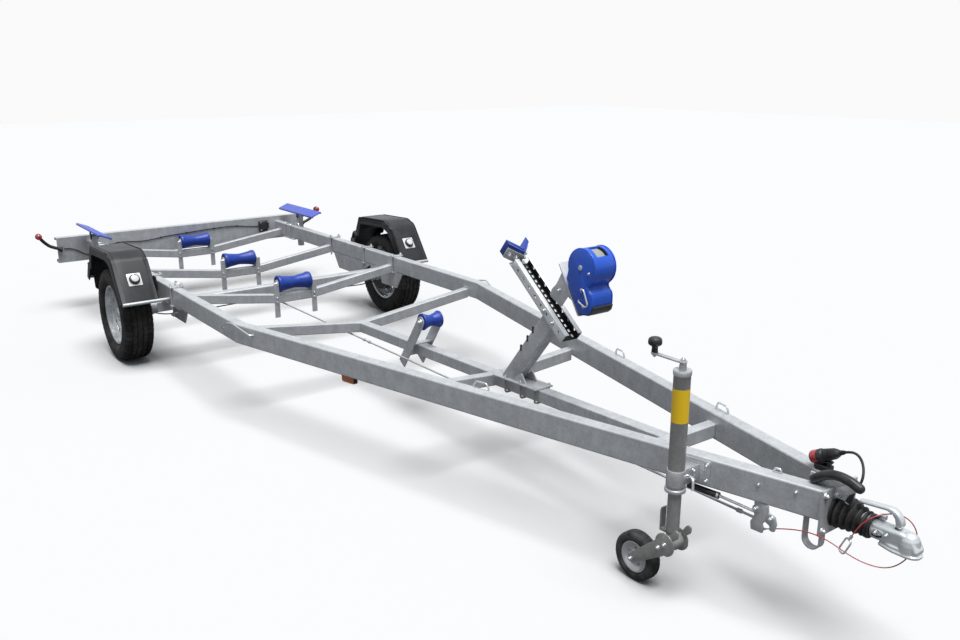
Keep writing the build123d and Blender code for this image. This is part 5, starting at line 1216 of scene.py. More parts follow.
class TRAILER_OT_jockey_wheel(Operator):
    """Model the jockey wheel's tyre and steel rim, its fork and swivel housing"""

    bl_idname = "trailer.jockey_wheel"
    bl_label = "Jockey wheel"

    def execute(self, context):
        hub = at(3923, JACK_LEFT, 96)
        half = [(0.0105, 0.0530), (0.0175, 0.0632), (0.0225, 0.0632), (0.0275, 0.0680),
                (0.0290, 0.0745), (0.0282, 0.0780), (0.0278, 0.0840), (0.0255, 0.0900),
                (0.0210, 0.0942), (0.0150, 0.0957)]
        tread = [(0.0090, 0.0959), (0.0082, 0.0945), (0.0052, 0.0945), (0.0045, 0.0959)]
        outer = half + tread
        tyre = lathe(outer + [(-along, r) for along, r in reversed(outer)], hub, LEFT, 64)
        finish(tyre, "jockey_solid_tyre", "solid tyre rubber", ("jockey_tyre",), "jockey_wheel")
        shell = [(0.0335, 0.0082), (0.0335, 0.0165), (0.0300, 0.0190), (0.0140, 0.0215),
                 (0.0120, 0.0260), (0.0118, 0.0400), (0.0150, 0.0450), (0.0220, 0.0520),
                 (0.0238, 0.0600), (0.0225, 0.0620), (0.0175, 0.0615), (0.0150, 0.0540),
                 (0.0100, 0.0515)]
        rim = lathe(shell + [(-along, r) for along, r in reversed(shell)], hub, LEFT, 56)
        holes = start(bpy.ops.mesh.primitive_cylinder_add, vertices=14, radius=0.0042, depth=0.09)
        holes = set_out(holes, [(hub + Quaternion(LEFT, tau * k / 5) @ (UP * 0.033), LEFT)
                                for k in range(5)])
        finish(soften(cut(rim, holes), 0.0005, 1, 50), "jockey_steel_rim", "silver wheel paint",
               ("jockey_rim",), "jockey_wheel")
        self.fork(hub)
        return {"FINISHED"}

    def fork(self, hub):
        """The fork's arms, the housing they turn on, and the ears and lug that ride on it."""
        pivot = at(JACK_AHEAD, JACK_LEFT, 224)
        pieces = []
        way = (hub - pivot).normalized()
        square = Vector((-way.z, 0, way.x))
        for left in (-41, 35.2):
            side = LEFT * left * MM
            arm = [pivot + side + square * 0.036 - way * 0.014,
                   pivot + side + way * 0.05 + square * 0.033,
                   hub + side + square * 0.021 - way * 0.03, hub + side + square * 0.016,
                   hub + side + way * 0.0185, hub + side - square * 0.016,
                   hub + side - square * 0.021 - way * 0.03,
                   pivot + side + way * 0.05 - square * 0.028,
                   pivot + side - square * 0.032 - way * 0.014]
            pieces.append(slab(arm, LEFT * 0.0058, 0.008, 0.0012))
            lobe = []
            for step in range(28):
                turn = tau * step / 28
                radius = 0.044 if step % 7 else 0.0425
                lobe.append(pivot + side + Vector((cos(turn) * radius, 0, sin(turn) * radius)))
            pieces.append(slab([place + LEFT * 0.0005 for place in lobe], LEFT * 0.0048, 0,
                               0.0012))
        barrel = lathe([(-0.0352, 0.0), (-0.0352, 0.0300), (0.0352, 0.0300), (0.0352, 0.0)],
                       pivot, LEFT, 36, False)
        neck = lathe([(-0.010, 0.0225), (0.034, 0.0225), (0.0400, 0.0235), (0.0412, 0.0235),
                      (0.0412, 0.0)], pivot, UP, 36, False)
        axle = rod([hub - LEFT * 0.0405, hub + LEFT * 0.0405], 0.0078, 0, 16)
        fork = join([*pieces, barrel, neck, axle])
        finish(fork, "jockey_fork_and_housing", "jack zinc", ("jockey_fork",), "jockey_fork")
        heads = []
        for left in (-1, 1):
            way_out = LEFT * left
            heads.append((hub + way_out * 0.0412, way_out))
            heads.append((pivot + way_out * 0.0412, way_out))
            heads.append((pivot + way_out * 0.0412 + way * 0.036, way_out))
        bolts("jockey_fork_bolts", 0.013, heads, "jockey_fork")
        ears = []
        for left in (-37, 31):
            ears.append(slab([at(JACK_AHEAD + x, JACK_LEFT + left, z) for x, z in (
                (14, 258), (30, 246), (56, 270), (58, 292), (46, 300), (32, 288))],
                LEFT * 0.006, 0.006, 0.001))
        lug = slab([at(x, JACK_LEFT - 13, z) for x, z in (
            (4062, 255), (4032, 255), (4032, 334), (4036, 346), (4039.5, 346), (4039.5, 266),
            (4062, 264))], LEFT * 0.026, 0.002, 0.001)
        finish(join([*ears, lug]), "jockey_fork_ears", "jack zinc", body="jockey_fork")


def free_cord(name, material, radius, route):
    """A flexible round cord whose line follows its route's control points."""
    data = bpy.data.curves.new(name, "CURVE")
    data.dimensions = "3D"
    line = data.splines.new("NURBS")
    line.points.add(len(route) - 1)
    for point, (ahead, left, up) in zip(line.points, route):
        point.co = (*at(ahead, left, up), 1)
    line.order_u = 3
    line.use_endpoint_u = True
    line.resolution_u = 8
    data.bevel_depth = radius
    data.bevel_resolution = 3
    data.use_fill_caps = True
    piece = bpy.data.objects.new(name, data)
    bpy.context.collection.objects.link(piece)
    data.materials.append(bpy.data.materials[material])
    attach(piece, "chassis")
    return piece


class TRAILER_OT_cords(Operator):
    """Model the plug's cable, the breakaway cable, the lamps' wiring and what is on them"""

    bl_idname = "trailer.cords"
    bl_label = "Cables and plug"

    # ahead, left and up along each cable
    PLUG_ROUTE = ((4483, 66, 617), (4509, 66, 630), (4540, 57, 639), (4569, 41, 635),
                  (4592, 22, 618), (4605, 4, 594), (4606, -12, 568), (4598, -24, 543),
                  (4588, -30, 518))
    BREAKAWAY_ROUTE = (
        (4334, -115, 326), (4382, -114, 348), (4434, -111, 368), (4488, -106, 382),
        (4540, -100, 384), (4586, -92, 373), (4630, -81, 354), (4669, -66, 340),
        (4701, -48, 333), (4728, -28, 331), (4748, -6, 338), (4763, 16, 354), (4773, 36, 376),
        (4779, 49, 402), (4780, 54, 430), (4774, 53, 458), (4760, 46, 482), (4741, 33, 499),
        (4719, 15, 505), (4699, -7, 503), (4684, -28, 498), (4668, -45, 485), (4652, -58, 464),
        (4641, -67, 441), (4632, -72, 417))
    LAMP_ROUTE = tuple((-1599.6, left, up) for left, up in (
        (-1013, 486), (-985, 486), (-950, 478), (-914, 460), (-880, 436), (-846, 416),
        (-812, 408), (-778, 415), (-744, 436), (-708, 460), (-662, 480), (-600, 490),
        (-520, 488), (-430, 478), (-340, 482), (-250, 494), (-140, 504), (-30, 509), (90, 517),
        (210, 521), (320, 525), (420, 521), (500, 510), (562, 500), (619, 500)))

    def execute(self, context):
        plug_pieces = self.plug()
        plug_cable = free_cord("plug_lead", "black rubber", 0.0045, self.PLUG_ROUTE)
        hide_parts("plug_cable")
        before, end = (at(*place) for place in self.PLUG_ROUTE[-2:])
        gland = lathe([(-0.014, 0.0), (-0.014, 0.0085), (-0.004, 0.0095), (0.002, 0.0085),
                       (0.014, 0.0056), (0.014, 0.0)], end, before - end, 20, False)
        finish(gland, "plug_lead_gland", "black rubber")
        breakaway = free_cord("breakaway_lead", "red sheath", 0.002, self.BREAKAWAY_ROUTE)
        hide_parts("breakaway_cable")
        first, second = (at(*place) for place in self.BREAKAWAY_ROUTE[:2])
        crimp = lathe([(-0.008, 0.0), (-0.008, 0.0042), (0.006, 0.0042), (0.012, 0.0026),
                       (0.012, 0.0)], first, second - first, 16, False)
        finish(crimp, "breakaway_crimp", "bright zinc")
        wiring = free_cord("lamp_wiring", "black rubber", 0.004, self.LAMP_ROUTE)
        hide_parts("lamp_cable")
        clips = [block(at(-1604.2, left - 8, up - 7), at(-1595, left + 8, up + 7), 0.002)
                 for left, up in ((-662, 479), (-600, 488), (-250, 493), (-30, 509), (210, 520),
                                  (420, 520))]
        finish(join(clips), "wiring_clips", "black plastic")
        return {"FINISHED"}

    def plug(self):
        """The plug, its holder, and a list of what hangs with the plug."""
        rear = at(4379, 66, 565)
        way = (at(*self.PLUG_ROUTE[0]) - rear).normalized()
        red = lathe([(0.0, 0.0), (0.0, 0.0195), (0.003, 0.0222), (0.009, 0.0238), (0.024, 0.0240),
                     (0.029, 0.0236), (0.029, 0.0)], rear, way, 40, False)
        finish(red, "plug_red_cap", "red lens", ("plug",), angle=50)
        ribs = []
        for step in range(7):
            along, reach = 0.0535 + step * 0.0062, 0.0208 - step * 0.0005
            ribs += [(along, reach), (along + 0.0008, reach + 0.0016),
                     (along + 0.0034, reach + 0.0014), (along + 0.0042, reach - 0.0006)]
        barrel = lathe([(0.0292, 0.0), (0.0292, 0.0236), (0.031, 0.0241), (0.045, 0.0241),
                        (0.048, 0.0225), (0.050, 0.0205), *ribs, (0.0980, 0.0172),
                        (0.1050, 0.0150), (0.1110, 0.0112), (0.1150, 0.0092), (0.1163, 0.0)],
                       rear, way, 40, False)
        keys = []
        for k in range(10):
            spoke = Quaternion(way, tau * k / 10) @ Vector((0, 0.0236, 0))
            foot = rear + way * 0.0315 + spoke
            keys.append(rod([foot, foot + way * 0.0125], 0.0017, 0, 8))
        flap = slab([rear + way * a + Vector((0, -0.011, 0)) + Vector((-way.z, 0, way.x)) * b
                     for a, b in ((0.018, -0.0235), (0.066, -0.0215), (0.074, -0.031),
                                  (0.060, -0.038), (0.024, -0.034))], LEFT * 0.022, 0.004, 0.002)
        finish(join([barrel, *keys]), "plug_barrel", "black plastic", angle=40)
        finish(flap, "plug_catch", "black plastic")
        boot = lathe([(0.1120, 0.0090), (0.1160, 0.0092), (0.1200, 0.0082), (0.1225, 0.0088),
                      (0.1255, 0.0073), (0.1280, 0.0078), (0.1310, 0.0064), (0.1360, 0.0050),
                      (0.1360, 0.0)], rear, way, 24, False)
        finish(boot, "plug_strain_relief", "black rubber", angle=40)
        holder = block(at(4404, 55, 516), at(4448, 77, 570), 0.004)
        socket = block(at(4396, 50, 536), at(4456, 84, 556), 0.005)
        finish(join([holder, socket]), "plug_parking_holder", "black plastic", ("plug_holder",))
        return [red, barrel, flap, boot]


class TRAILER_OT_coupling(Operator):
    """Model the ball coupling, its handle, the bellows, the hand brake and the drawbar bolts"""

    bl_idname = "trailer.coupling"
    bl_label = "Coupling and hand brake"

    def execute(self, context):
        self.bellows()
        self.head()
        self.handle()
        self.brake_lever()
        flange_bolts = [(at(4535.2, left, z), AHEAD) for left in (-84, 84) for z in (396, 522)]
        plate_bolts = [(at(x, -127.2, z), -LEFT) for x, z in ((4305, 396), (4368, 382))]
        bolts("drawbar_bolts", 0.018, flange_bolts + plate_bolts)
        return {"FINISHED"}

    def bellows(self):
        """The folded rubber sleeve round the overrun tube, and the band at its front."""
        rear, front, folds = at(4535.4, 0, 452), at(4661.6, 0, 438), 5
        profile = [(0.0, 0.026), (0.0, 0.064), (0.005, 0.0645)]
        steps = 12 * folds
        for step in range(steps + 1):
            share = step / steps
            wave = 0.5 - 0.5 * cos(share * tau * folds)
            reach = 0.0625 - 0.0215 * share
            profile.append((0.007 + share * 0.106, reach - 0.0135 + 0.0150 * wave**0.6))
        profile += [(0.116, 0.0405), (0.1262, 0.0405), (0.1262, 0.026)]
        bellows = lathe(profile, rear, front - rear, 56)
        finish(bellows, "drawbar_bellows", "black rubber", ("bellows",), angle=50)
        way, reach = (front - rear).normalized(), 0.0428
        band = lathe([(-0.004, reach - 0.003), (-0.004, reach), (0.004, reach),
                      (0.004, reach - 0.003)], rear + way * 0.1175, way, 48)
        finish(band, "bellows_band", "black plastic")

    def head(self):
        """The pressed steel head over the ball, black patches on its sides that paint the shade of
        its recesses, its cross bolts and bracket.
        """
        rear = 4662
        outline = ((0, 27), (30, 28), (62, 29), (100, 30), (126, 25), (146, 8), (159, -14),
                   (160, -30), (70, -30), (38, -26), (0, -27))
        body = slab([at(rear + x, -26, 438 + z) for x, z in outline], LEFT * 0.052, 0, 0.009)
        plan = ((30, -22), (58, -30), (84, -36), (130, -36), (152, -28), (163, -12), (163, 12),
                (152, 28), (130, 36), (84, 36), (58, 30), (30, 22))
        rim = slab([at(rear + x, y, 396.2) for x, y in plan], UP * 0.010, 0.006, 0.003)
        skirt = slab([at(rear + 42 + (x - 42) * 0.9, y * 0.88, 404) for x, y in plan],
                     UP * 0.014, 0.008, 0.004)
        turret = lathe([(-0.030, 0.0), (-0.030, 0.0345), (-0.006, 0.0335), (0.012, 0.0300),
                        (0.025, 0.0225), (0.0320, 0.0130), (0.0340, 0.0)], at(4783, 0, 438), UP,
                       48, False)
        socket = start(bpy.ops.mesh.primitive_uv_sphere_add, segments=40, ring_count=24,
                       radius=0.0256, location=at(4783, 0, 436))
        throat = start(bpy.ops.mesh.primitive_cylinder_add, vertices=40, radius=0.0246,
                       depth=0.08, location=at(4783, 0, 396))
        neck = lathe([(0.0, 0.0), (0.0, 0.029), (0.034, 0.030), (0.052, 0.0285), (0.052, 0.0)],
                     at(rear, 0, 438), AHEAD, 40, False)
        whole = join([body, turret, rim, skirt, neck])
        modify(whole, "REMESH", mode="VOXEL", voxel_size=0.0019)
        modify(whole, "SMOOTH", factor=0.6, iterations=4)
        for cutter in (freeze(socket), freeze(throat)):
            cut(whole, cutter)
        modify(whole, "DECIMATE", ratio=0.55)
        finish(whole, "ball_coupling_head", "coupling steel", ("coupling_head",), angle=50)
        # painted shade: flat black patches on the head's sides stand for the shade in its side
        # recesses
        recess_shades = []
        for left in (-29.2, 26.4):
            recess_shades.append(slab([at(rear + x, left, 438 + z) for x, z in (
                (9, -13), (14, 9), (30, 11), (44, 4), (46, -8), (30, -15))],
                LEFT * 0.0028, 0.004, 0.0008))
        finish(join(recess_shades), "coupling_side_recesses", "satin black steel")
        pins = [(at(x, 29.4 * side, z), LEFT * side) for side in (-1, 1)
                for x, z in ((4684, 439), (4720, 443))]
        bolts("coupling_cross_bolts", 0.013, pins)
        washer = block(at(4668, 12, 466), at(4690, 30, 484), 0.003)
        finish(washer, "coupling_damper_bracket", "bright zinc")

    def handle(self):
        """The coupling's lever and the pad of its latch."""
        shape = ((4606, 517), (4628, 521), (4650, 523), (4704, 530), (4722, 530), (4736, 524),
                 (4748, 513), (4756, 500), (4760, 485), (4752, 470), (4738, 474), (4732, 500),
                 (4722, 511), (4704, 517), (4650, 511), (4606, 506))
        grip = slab([at(x, -13, z) for x, z in shape], LEFT * 0.026, 0, 0.005)
        finish(grip, "coupling_handle_lever", "coupling steel", ("coupling_handle",), angle=50)
        latch = block(at(4733, -9, 458), at(4748, 9, 472), 0.003)
        finish(latch, "coupling_latch_pad", "black rubber")

    def brake_lever(self):
        """The hand brake's grip, bar and pivots."""
        arc = [at(4466, -48, 549), at(4482, -48, 562), at(4504, -48, 577), at(4530, -48, 587),
               at(4560, -48, 590), at(4592, -48, 586), at(4626, -48, 574)]
        grip = rod(arc, 0.0165, 0.01, 18)
        ends = []
        for place in (arc[0], arc[-1]):
            ball = start(bpy.ops.mesh.primitive_uv_sphere_add, segments=24, ring_count=14,
                         radius=0.0166, location=place)
            ends.append(freeze(ball))
        finish(join([grip, *ends]), "hand_brake_grip", "black plastic", ("handbrake_lever",),
               angle=50)
        bar = slab([at(x, -38, z) for x, z in ((4520, 505), (4536, 498), (4566, 524),
                                               (4622, 556), (4618, 574), (4590, 572),
                                               (4548, 545), (4522, 524))], LEFT * 0.005, 0.005,
                   0.001)
        finish(bar, "hand_brake_bar", "bright zinc")
        bolts("hand_brake_pivots", 0.018,
              [(at(4548, -38.2, 522), -LEFT), (at(4470, -35, 520), -LEFT)])


class TRAILER_OT_brake_gear(Operator):
    """Model the brake rod, its bracket at the drawbar and the gas spring"""

    bl_idname = "trailer.brake_gear"
    bl_label = "Brake gear"

    def execute(self, context):
        rear_ahead, front_ahead = 200, 4324
        rear, front = at(rear_ahead, -60, 300), at(front_ahead, -115, 354)
        line = rod([rear, front], 0.005)
        shape = ((4296, 424), (4352, 424), (4356, 398), (4382, 394), (4391, 368), (4384, 338),
                 (4366, 336), (4364, 354), (4346, 362), (4334, 350), (4340, 334), (4338, 314),
                 (4290, 312), (4286, 342), (4300, 364))
        plate = slab([at(x, -127, z) for x, z in shape], LEFT * 0.007, 0.004, 0.001)
        eye = block(at(4320, -122, 319), at(4335, -111, 333), 0.002)
        finish(join([line, plate, eye]), "brake_rod_and_bracket", "dipped zinc",
               ("brake_linkage",))
        back, middle, tip = at(4050, -184, 406), at(4170, -154, 398), at(4310, -114, 376)
        way, on = (middle - back).normalized(), (tip - middle).normalized()
        length = (middle - back).length
        barrel = lathe([(0, 0), (0, 0.0105), (0.003, 0.012), (length - 0.004, 0.012),
                        (length, 0.010), (length, 0)], back, way, 32, False)
        finish(barrel, "gas_spring_barrel", "black plastic", ("brake_spring",))
        stem = rod([middle - on * 0.002, tip], 0.0052, 0, 16)
        ring = lathe([(-0.010, 0.011), (-0.010, 0.0128), (-0.002, 0.0128), (-0.002, 0.011)],
                     middle, way, 32)
        finish(join([stem, ring]), "gas_spring_rod", "bright zinc")
        nuts = []
        for ahead in (1500, 1560, 4230):
            share = (ahead - rear_ahead) / (front_ahead - rear_ahead)
            nuts.append((rear + (front - rear) * share, (front - rear).normalized()))
        nut = start(bpy.ops.mesh.primitive_cylinder_add, vertices=6, radius=0.0095, depth=0.018)
        finish(set_out(nut, nuts), "brake_rod_nuts", "bright zinc")
        return {"FINISHED"}


class TRAILER_OT_rear_lamps(Operator):
    """Model the rear lamps, outline lamps, side lamps and the junction box"""

    bl_idname = "trailer.rear_lamps"
    bl_label = "Lamps"

    def execute(self, context):
        housings, reds, ambers, whites = [], [], [], []
        # reach across from the lamp's middle, heights and group of each lit field
        fields = ((-118, -42, 452, 537, ambers), (-40, 52, 452, 537, reds),
                  (54, 118, 452, 537, whites), (-118, 118, 411, 449, reds))
        for side in SIDES.values():
            middle = 915 * side
            housings.append(block(at(-1668, middle - 125, 404), at(-1607, middle + 125, 544),
                                  0.010, 3))
            for near, far, low, high, group in fields:
                ends = sorted((middle + near * side, middle + far * side))
                group.append(block(at(-1684, ends[0], low), at(-1664, ends[1], high), 0.006))
        finish(join(housings), "rear_lamp_housings", "black plastic", ("rear_lamps",))
        for colour, group in (("red", reds), ("amber", ambers), ("white", whites)):
            finish(join(group), f"rear_lamp_{colour}_fields", f"{colour} lens")
        self.outline_lamps()
        self.side_lamps()
        self.junction_box()
        return {"FINISHED"}

    def outline_lamps(self):
        """The outline lamps on their rubber arms, with a lens on each face."""
        arms, rings, fronts, rears = [], [], [], []
        for side in SIDES.values():
            path = [at(-1585.6, y * side, z) for y, z in (
                (1036, 486), (1082, 503), (1120, 520), (1152, 550), (1178, 583))]
            arms.append(rod(path, 0.0125, 0.012, 16))
            arms.append(lathe([(-0.006, 0), (-0.006, 0.022), (0.010, 0.020), (0.024, 0.0125),
                               (0.024, 0)], path[0], path[1] - path[0], 28, False))
            centre = at(-1585.6, 1190 * side, 602)
            rings.append(lathe([(-0.012, 0), (-0.012, 0.0225), (-0.009, 0.0238), (0.009, 0.0238),
                                (0.012, 0.0225), (0.012, 0)], centre, AHEAD, 36, False))
            for way, group in ((1, fronts), (-1, rears)):
                group.append(lathe([(0.0105, 0), (0.0105, 0.0212), (0.020, 0.0215),
                                    (0.027, 0.0185), (0.0305, 0.011), (0.031, 0)], centre,
                                   AHEAD * way, 36, False))
        finish(join(arms), "outline_lamp_rubber_arms", "black rubber", ("outline_lamp_arms",),
               angle=45)
        finish(join(rings), "outline_lamp_rings", "black plastic", ("outline_lamps",))
        finish(join(fronts), "outline_lamp_front_lenses", "red lens", angle=50)
        finish(join(rears), "outline_lamp_rear_lenses", "red lens", angle=50)

    def side_lamps(self):
        """The amber lamps under the beams, turned with the beams' taper."""
        bases, lenses = [], []
        taper = TAPER / (1 + TAPER**2) ** 0.5
        for side in SIDES.values():
            left = (beam_out(2285) - 30) * side
            turn = Quaternion(UP, -side * taper)
            place = Matrix.Translation(at(2285, left, 0)) @ turn.to_matrix().to_4x4()
            base = block(Vector((-0.046, -0.011, 0.388)), Vector((0.046, 0.011, 0.424)), 0.003)
            bases.append(moved(base, place))
            lens = block(Vector((-0.040, -0.0095, 0.386)), Vector((0.040, 0.0095, 0.418)), 0.004)
            moved(lens, Matrix.Translation(LEFT * 0.004 * side))
            lenses.append(moved(lens, place))
        finish(join(bases), "side_lamp_bases", "black plastic", ("side_marker_lamps",))
        finish(join(lenses), "side_lamp_amber_lenses", "amber lens")

    def junction_box(self):
        """The box on the light bar, its screws and its cable glands."""
        base = block(at(-1604, 620, 454), at(-1580, 710, 546), 0.009, 3)
        lid = block(at(-1581, 622, 456), at(-1566, 708, 544), 0.012, 3)
        finish(join([base, lid]), "junction_box_and_lid", "black plastic", ("junction_box",))
        bolts("junction_box_screws", 0.008,
              [(at(-1566, 665 + y, 500 + z), AHEAD) for y in (-34, 34) for z in (-34, 34)])
        glands = [lathe([(-0.012, 0), (-0.012, 0.009), (0.004, 0.009), (0.006, 0.0065),
                         (0.012, 0.006), (0.012, 0)], at(-1590, 665 + y, 454), -UP, 16, False)
                  for y in (-26, 0, 26)]
        finish(join(glands), "junction_box_glands", "black rubber")


class TRAILER_OT_bilge_supports(Operator):
    """Model the ribbed bilge pads, their frames, and the clamps of their posts"""

    bl_idname = "trailer.bilge_supports"
    bl_label = "Bilge supports"

    PAD_AHEAD, PAD_LEFT = -1255, 862

    def execute(self, context):
        for side_name, side in SIDES.items():
            self.pad(side, f"{side_name}_bilge_pad")
        self.post_clamps(context.scene.trailer_sizes.clamp_rod)
        return {"FINISHED"}

    def pad(self, side, body):
        """A pad that leans in, with ribs along its top and its frame and ears below."""
        lean, half_long = radians(22), 0.324
        across = Vector((0, cos(lean) * side, sin(lean)))
        up = Vector((0, -sin(lean) * side, cos(lean)))
        centre = at(self.PAD_AHEAD, self.PAD_LEFT * side, 660)
        section = [(-49, -9), (-50, 4), (-44, 8), (44, 8), (50, 4), (49, -9), (36, -9),
                   (34, -4), (-34, -4), (-36, -9)]
        pad = slab([centre - AHEAD * half_long + across * a * MM + up * b * MM
                    for a, b in section], AHEAD * (2 * half_long), 0, 0.002)
        ribs = []
        for a in (-38, -19, 0, 19, 38):
            low = centre + across * a * MM + up * 0.0078
            ribs.append(rod([low - AHEAD * 0.312, low + AHEAD * 0.312], 0.0014, 0, 8))
        bones = []
        for k in range(9):
            spot = centre + AHEAD * (-0.3 + 0.075 * k) + up * -0.0065
            bones.append(slab([spot + across * a + AHEAD * b for a, b in (
                (-0.035, -0.002), (0.035, -0.002), (0.035, 0.002), (-0.035, 0.002))],
                up * 0.004))
        finish(join([pad, *ribs]), f"{body}_ribbed", "blue pad plastic", body=body, angle=40)
        ears = []
        for off, top in ((24 * side, 664), (-24 * side, 646)):
            corners = [at(self.PAD_AHEAD + x, self.PAD_LEFT * side + off - 3, z) for x, z in (
                (-20, 598), (20, 598), (20, top), (-20, top))]
            ears.append(slab(corners, LEFT * 0.006, 0.012, 0.001))
        finish(join([*bones, *ears]), f"{body}_frame", "satin black steel", (body,), body)

    def post_clamps(self, wire):
        """U-bolts round the beams at the posts' feet, and the plates under them."""
        clamps, plates = [], []
        for side in SIDES.values():
            inner, outer = (FRAME_IN - 7) * side, (FRAME_OUT + 7) * side
            for ahead in (-1380, -1280):
                path = [at(ahead, across, up) for across, up in (
                    (inner, 415), (inner, 541), (outer, 541), (outer, 415))]
                clamps.append(rod(path, wire, 0.012))
            low, high = sorted(((FRAME_IN - 12) * side, (FRAME_OUT + 12) * side))
            plates.append(block(at(-1400, low, 416), at(-1210, high, 423.6), 0.001))
        finish(join(clamps), "bilge_post_u_bolts", "bright zinc")
        finish(join(plates), "bilge_post_clamp_plates", "dipped zinc")


class TRAILER_OT_frame_fittings(Operator):
    """Model the frame's lashing eyes, U-bolts, plates, rivets, weld beads and stay brackets"""

    bl_idname = "trailer.frame_fittings"
    bl_label = "Frame fittings"

    def execute(self, context):
        sizes = context.scene.trailer_sizes
        self.eyes()
        self.clamps(sizes)
        self.roller_bolts(sizes)
        self.seams()
        bolts("nose_rivets", 0.011,
              [(self.on_face(x, z), self.face_out()) for x, z in ((4312, 491), (4438, 503))])
        self.guard_brackets()
        return {"FINISHED"}

    def face_out(self):
        """Away from the right beam's tapering outer face."""
        return Vector((TAPER, -1, 0)).normalized()

    def on_face(self, ahead, up):
        """A place on the right beam's tapering outer face."""
        return at(ahead, -beam_out(ahead), up) + self.face_out() * 0.0002

    def eyes(self):
        """Wire lashing eyes on the beams' tops and a rope hook outside each beam."""
        wires = []
        # middle's place ahead, side of the frame, inset from its outside, span, height
        for ahead, side, inset, span, tall in (
            (3070, -1, 50, 80, 30), (3102, 1, 16, 72, 30), (3864, 1, 18, 72, 30),
            (405, -1, 44, 72, 30), (-1180, -1, 44, 72, 30), (-1180, 1, 44, 72, 30),
            (4347, -1, 44, 26, 16),
        ):
            ends = [at(ahead + share * span, (beam_out(ahead + share * span) - inset) * side, 0)
                    for share in (-0.5, -0.34, 0.34, 0.5)]
            low, high = 0.5335, 0.534 + tall * MM
            path = [ends[0] + UP * low, ends[0] + UP * (low + tall * MM * 0.45),
                    ends[1] + UP * high, ends[2] + UP * high,
                    ends[3] + UP * (low + tall * MM * 0.45), ends[3] + UP * low]
            wires.append(rod(path, 0.004, 0.006, 10))
        for side in SIDES.values():
            wires.append(rod([at(1276, 836 * side, 470), at(1280, 856 * side, 474),
                              at(1382, 860 * side, 526), at(1456, 858 * side, 538),
                              at(1598, 824 * side, 500), at(1602, 798 * side, 498)],
                             0.0045, 0.008, 10))
        finish(join(wires), "lashing_eyes", "bright zinc")

    def clamps(self, sizes):
        """U-bolts round the beams at the axle brackets and their plates."""
        rods, plates, nuts = [], [], []
        for side in SIDES.values():
            for ahead in (-520, 5, 430):
                inner, outer = (FRAME_IN - 6) * side, (FRAME_OUT + 6) * side
                for across in (inner, outer):
                    rods.append(rod([at(ahead, across, 398), at(ahead, across, 560)],
                                    sizes.clamp_rod, 0, 12))
                    nuts.append((at(ahead, across, 542), UP))
                plates.append(block(at(ahead - 20, min(inner, outer) - 10, 534.2),
                                    at(ahead + 20, max(inner, outer) + 10, 541), 0.0015))
                plates.append(block(at(ahead - 18, min(inner, outer) - 8, 416),
                                    at(ahead + 18, max(inner, outer) + 8, 423.8), 0.0015))
        finish(join(rods), "axle_u_bolts", "bright zinc")
        bolts("axle_u_bolt_nuts", 0.019, nuts)
        finish(join(plates), "axle_u_bolt_plates", "dipped zinc")

    def roller_bolts(self, sizes):
        """Bolts that hold the roller uprights to the cross tubes."""
        heads = []
        for station in (-1510, -550, 400):
            for side in SIDES.values():
                for up in (362, 334):
                    heads.append((at(station + 31.2, 139 * side, up), AHEAD))
                    heads.append((at(station - 25.4, 139 * side, up), -AHEAD))
        bolts("roller_upright_bolts", sizes.small_bolt, heads)

    def seams(self):
        """Weld beads where the cross tubes meet the beams."""
        beads, bead, fine_bead = [], 0.0026, 0.0016
        for ahead in (-1510, -550, 400, 1340):
            for side in SIDES.values():
                inner = FRAME_IN * side
                for low, high in (((-25, 428), (-25, 484)), ((25, 428), (25, 484)),
                                  ((-24, 485), (24, 485))):
                    beads.append(rod([at(ahead + x, inner, up) for x, up in (low, high)], bead,
                                     0, 8))
        for side in SIDES.values():
            for x in (-30, 30):
                out = (beam_out(3850) - 61.5 - x * TAPER) * side
                beads.append(rod([at(3850 + x, out, 438), at(3850 + x, out, 494)], bead, 0, 8))
        for side in SIDES.values():
            bend = FRAME_OUT * side
            beads.append(rod([at(BEND_AHEAD, bend, 427), at(BEND_AHEAD, bend, 531)], fine_bead,
                             0, 8))
        finish(join(beads), "frame_weld_beads", "dipped zinc", angle=50)

    def guard_brackets(self):
        """Tapered brackets between the guards' stays and the beams."""
        pieces = []
        for side in SIDES.values():
            for shape in (((-330, 486), (-252, 486), (-262, 560), (-318, 560)),
                          ((90, 470), (170, 470), (160, 560), (104, 560))):
                corners = [at(x, (FRAME_OUT + 6) * side, z) for x, z in shape]
                pieces.append(slab(corners, LEFT * side * 0.006, 0.006, 0.001))
        finish(join(pieces), "guard_stay_brackets", "satin black steel")


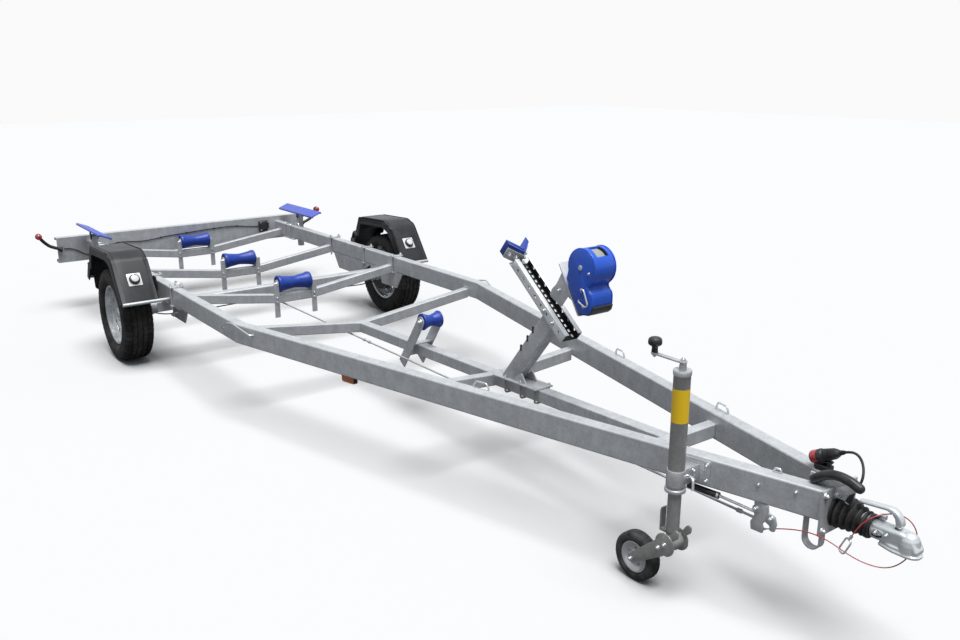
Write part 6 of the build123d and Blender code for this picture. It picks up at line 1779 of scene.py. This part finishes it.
class TRAILER_OT_running_gear(Operator):
    """Model the axle's arms, backing plates, brake conduits and bolts"""

    bl_idname = "trailer.running_gear"
    bl_label = "Running gear"

    def execute(self, context):
        arms, caps, heads, conduits = [], [], [], []
        for side in SIDES.values():
            pivot, hub = at(165, 890 * side, 365), at(0, 890 * side, WHEEL_UP / MM)
            way = (hub - pivot).normalized()
            square = Vector((-way.z, 0, way.x))
            widths = ((-0.034, 0.020), (-0.020, 0.036), (0.02, 0.038), (0.12, 0.028),
                      ((hub - pivot).length, 0.026))
            arm = [pivot + way * along + square * half for along, half in widths]
            arm += [pivot + way * along - square * half for along, half in reversed(widths)]
            arms.append(slab(arm, LEFT * 0.022 * side, 0.004, 0.003))
            caps.append(lathe([(0, 0), (0, 0.112), (0.004, 0.116), (0.006, 0.116), (0.006, 0)],
                              at(0, 906 * side, WHEEL_UP / MM), LEFT * side, 48, False))
            for x in (262, 330):
                heads.append((at(x, 790.4 * side, 318 + (x - 262) * 0.4), LEFT * side))
            route = [at(ahead, across * side, up) for ahead, across, up in (
                (0, 905, 330), (30, 880, 300), (120, 800, 290), (190, 640, 300), (205, 300, 312))]
            conduits.append(rod([*route, at(205, -40, 312)], 0.004, 0.03, 10))
        finish(join(arms), "suspension_arms", "satin black steel")
        finish(join(caps), "brake_backing_plates", "satin black steel")
        bolts("axle_bracket_bolts", context.scene.trailer_sizes.bolt, heads)
        finish(join(conduits), "brake_conduits", "black rubber")
        return {"FINISHED"}


class TRAILER_PT_panel(Panel):
    """Lists the trailer's sizes, colours and operators."""

    bl_idname = "TRAILER_PT_panel"
    bl_label = "Boat Trailer"
    bl_space_type = "VIEW_3D"
    bl_region_type = "UI"
    bl_category = "Trailer"

    def draw(self, context):
        for settings in (context.scene.trailer_sizes, context.scene.trailer_colours):
            for name in settings.__annotations__:
                self.layout.prop(settings, name)
        for operator in OPERATORS:
            self.layout.operator(operator.bl_idname)


OPERATORS = (
    TRAILER_OT_stage,
    TRAILER_OT_finishes,
    TRAILER_OT_wheels,
    TRAILER_OT_mudguards,
    TRAILER_OT_keel_rollers,
    TRAILER_OT_winch,
    TRAILER_OT_winch_stand,
    TRAILER_OT_bow_stop,
    TRAILER_OT_jack,
    TRAILER_OT_jockey_wheel,
    TRAILER_OT_cords,
    TRAILER_OT_coupling,
    TRAILER_OT_brake_gear,
    TRAILER_OT_rear_lamps,
    TRAILER_OT_bilge_supports,
    TRAILER_OT_frame_fittings,
    TRAILER_OT_running_gear,
)
CLASSES = (TrailerColours, TrailerSizes, *OPERATORS, TRAILER_PT_panel)


def register():
    for kind in CLASSES:
        bpy.utils.register_class(kind)
    bpy.types.Scene.trailer_colours = PointerProperty(type=TrailerColours)
    bpy.types.Scene.trailer_sizes = PointerProperty(type=TrailerSizes)


def unregister():
    del bpy.types.Scene.trailer_sizes
    del bpy.types.Scene.trailer_colours
    for kind in reversed(CLASSES):
        bpy.utils.unregister_class(kind)


def main():
    register()
    for operator in OPERATORS:
        group, action = operator.bl_idname.split(".")
        getattr(getattr(bpy.ops, group), action)()


if __name__ == "__main__":
    main()
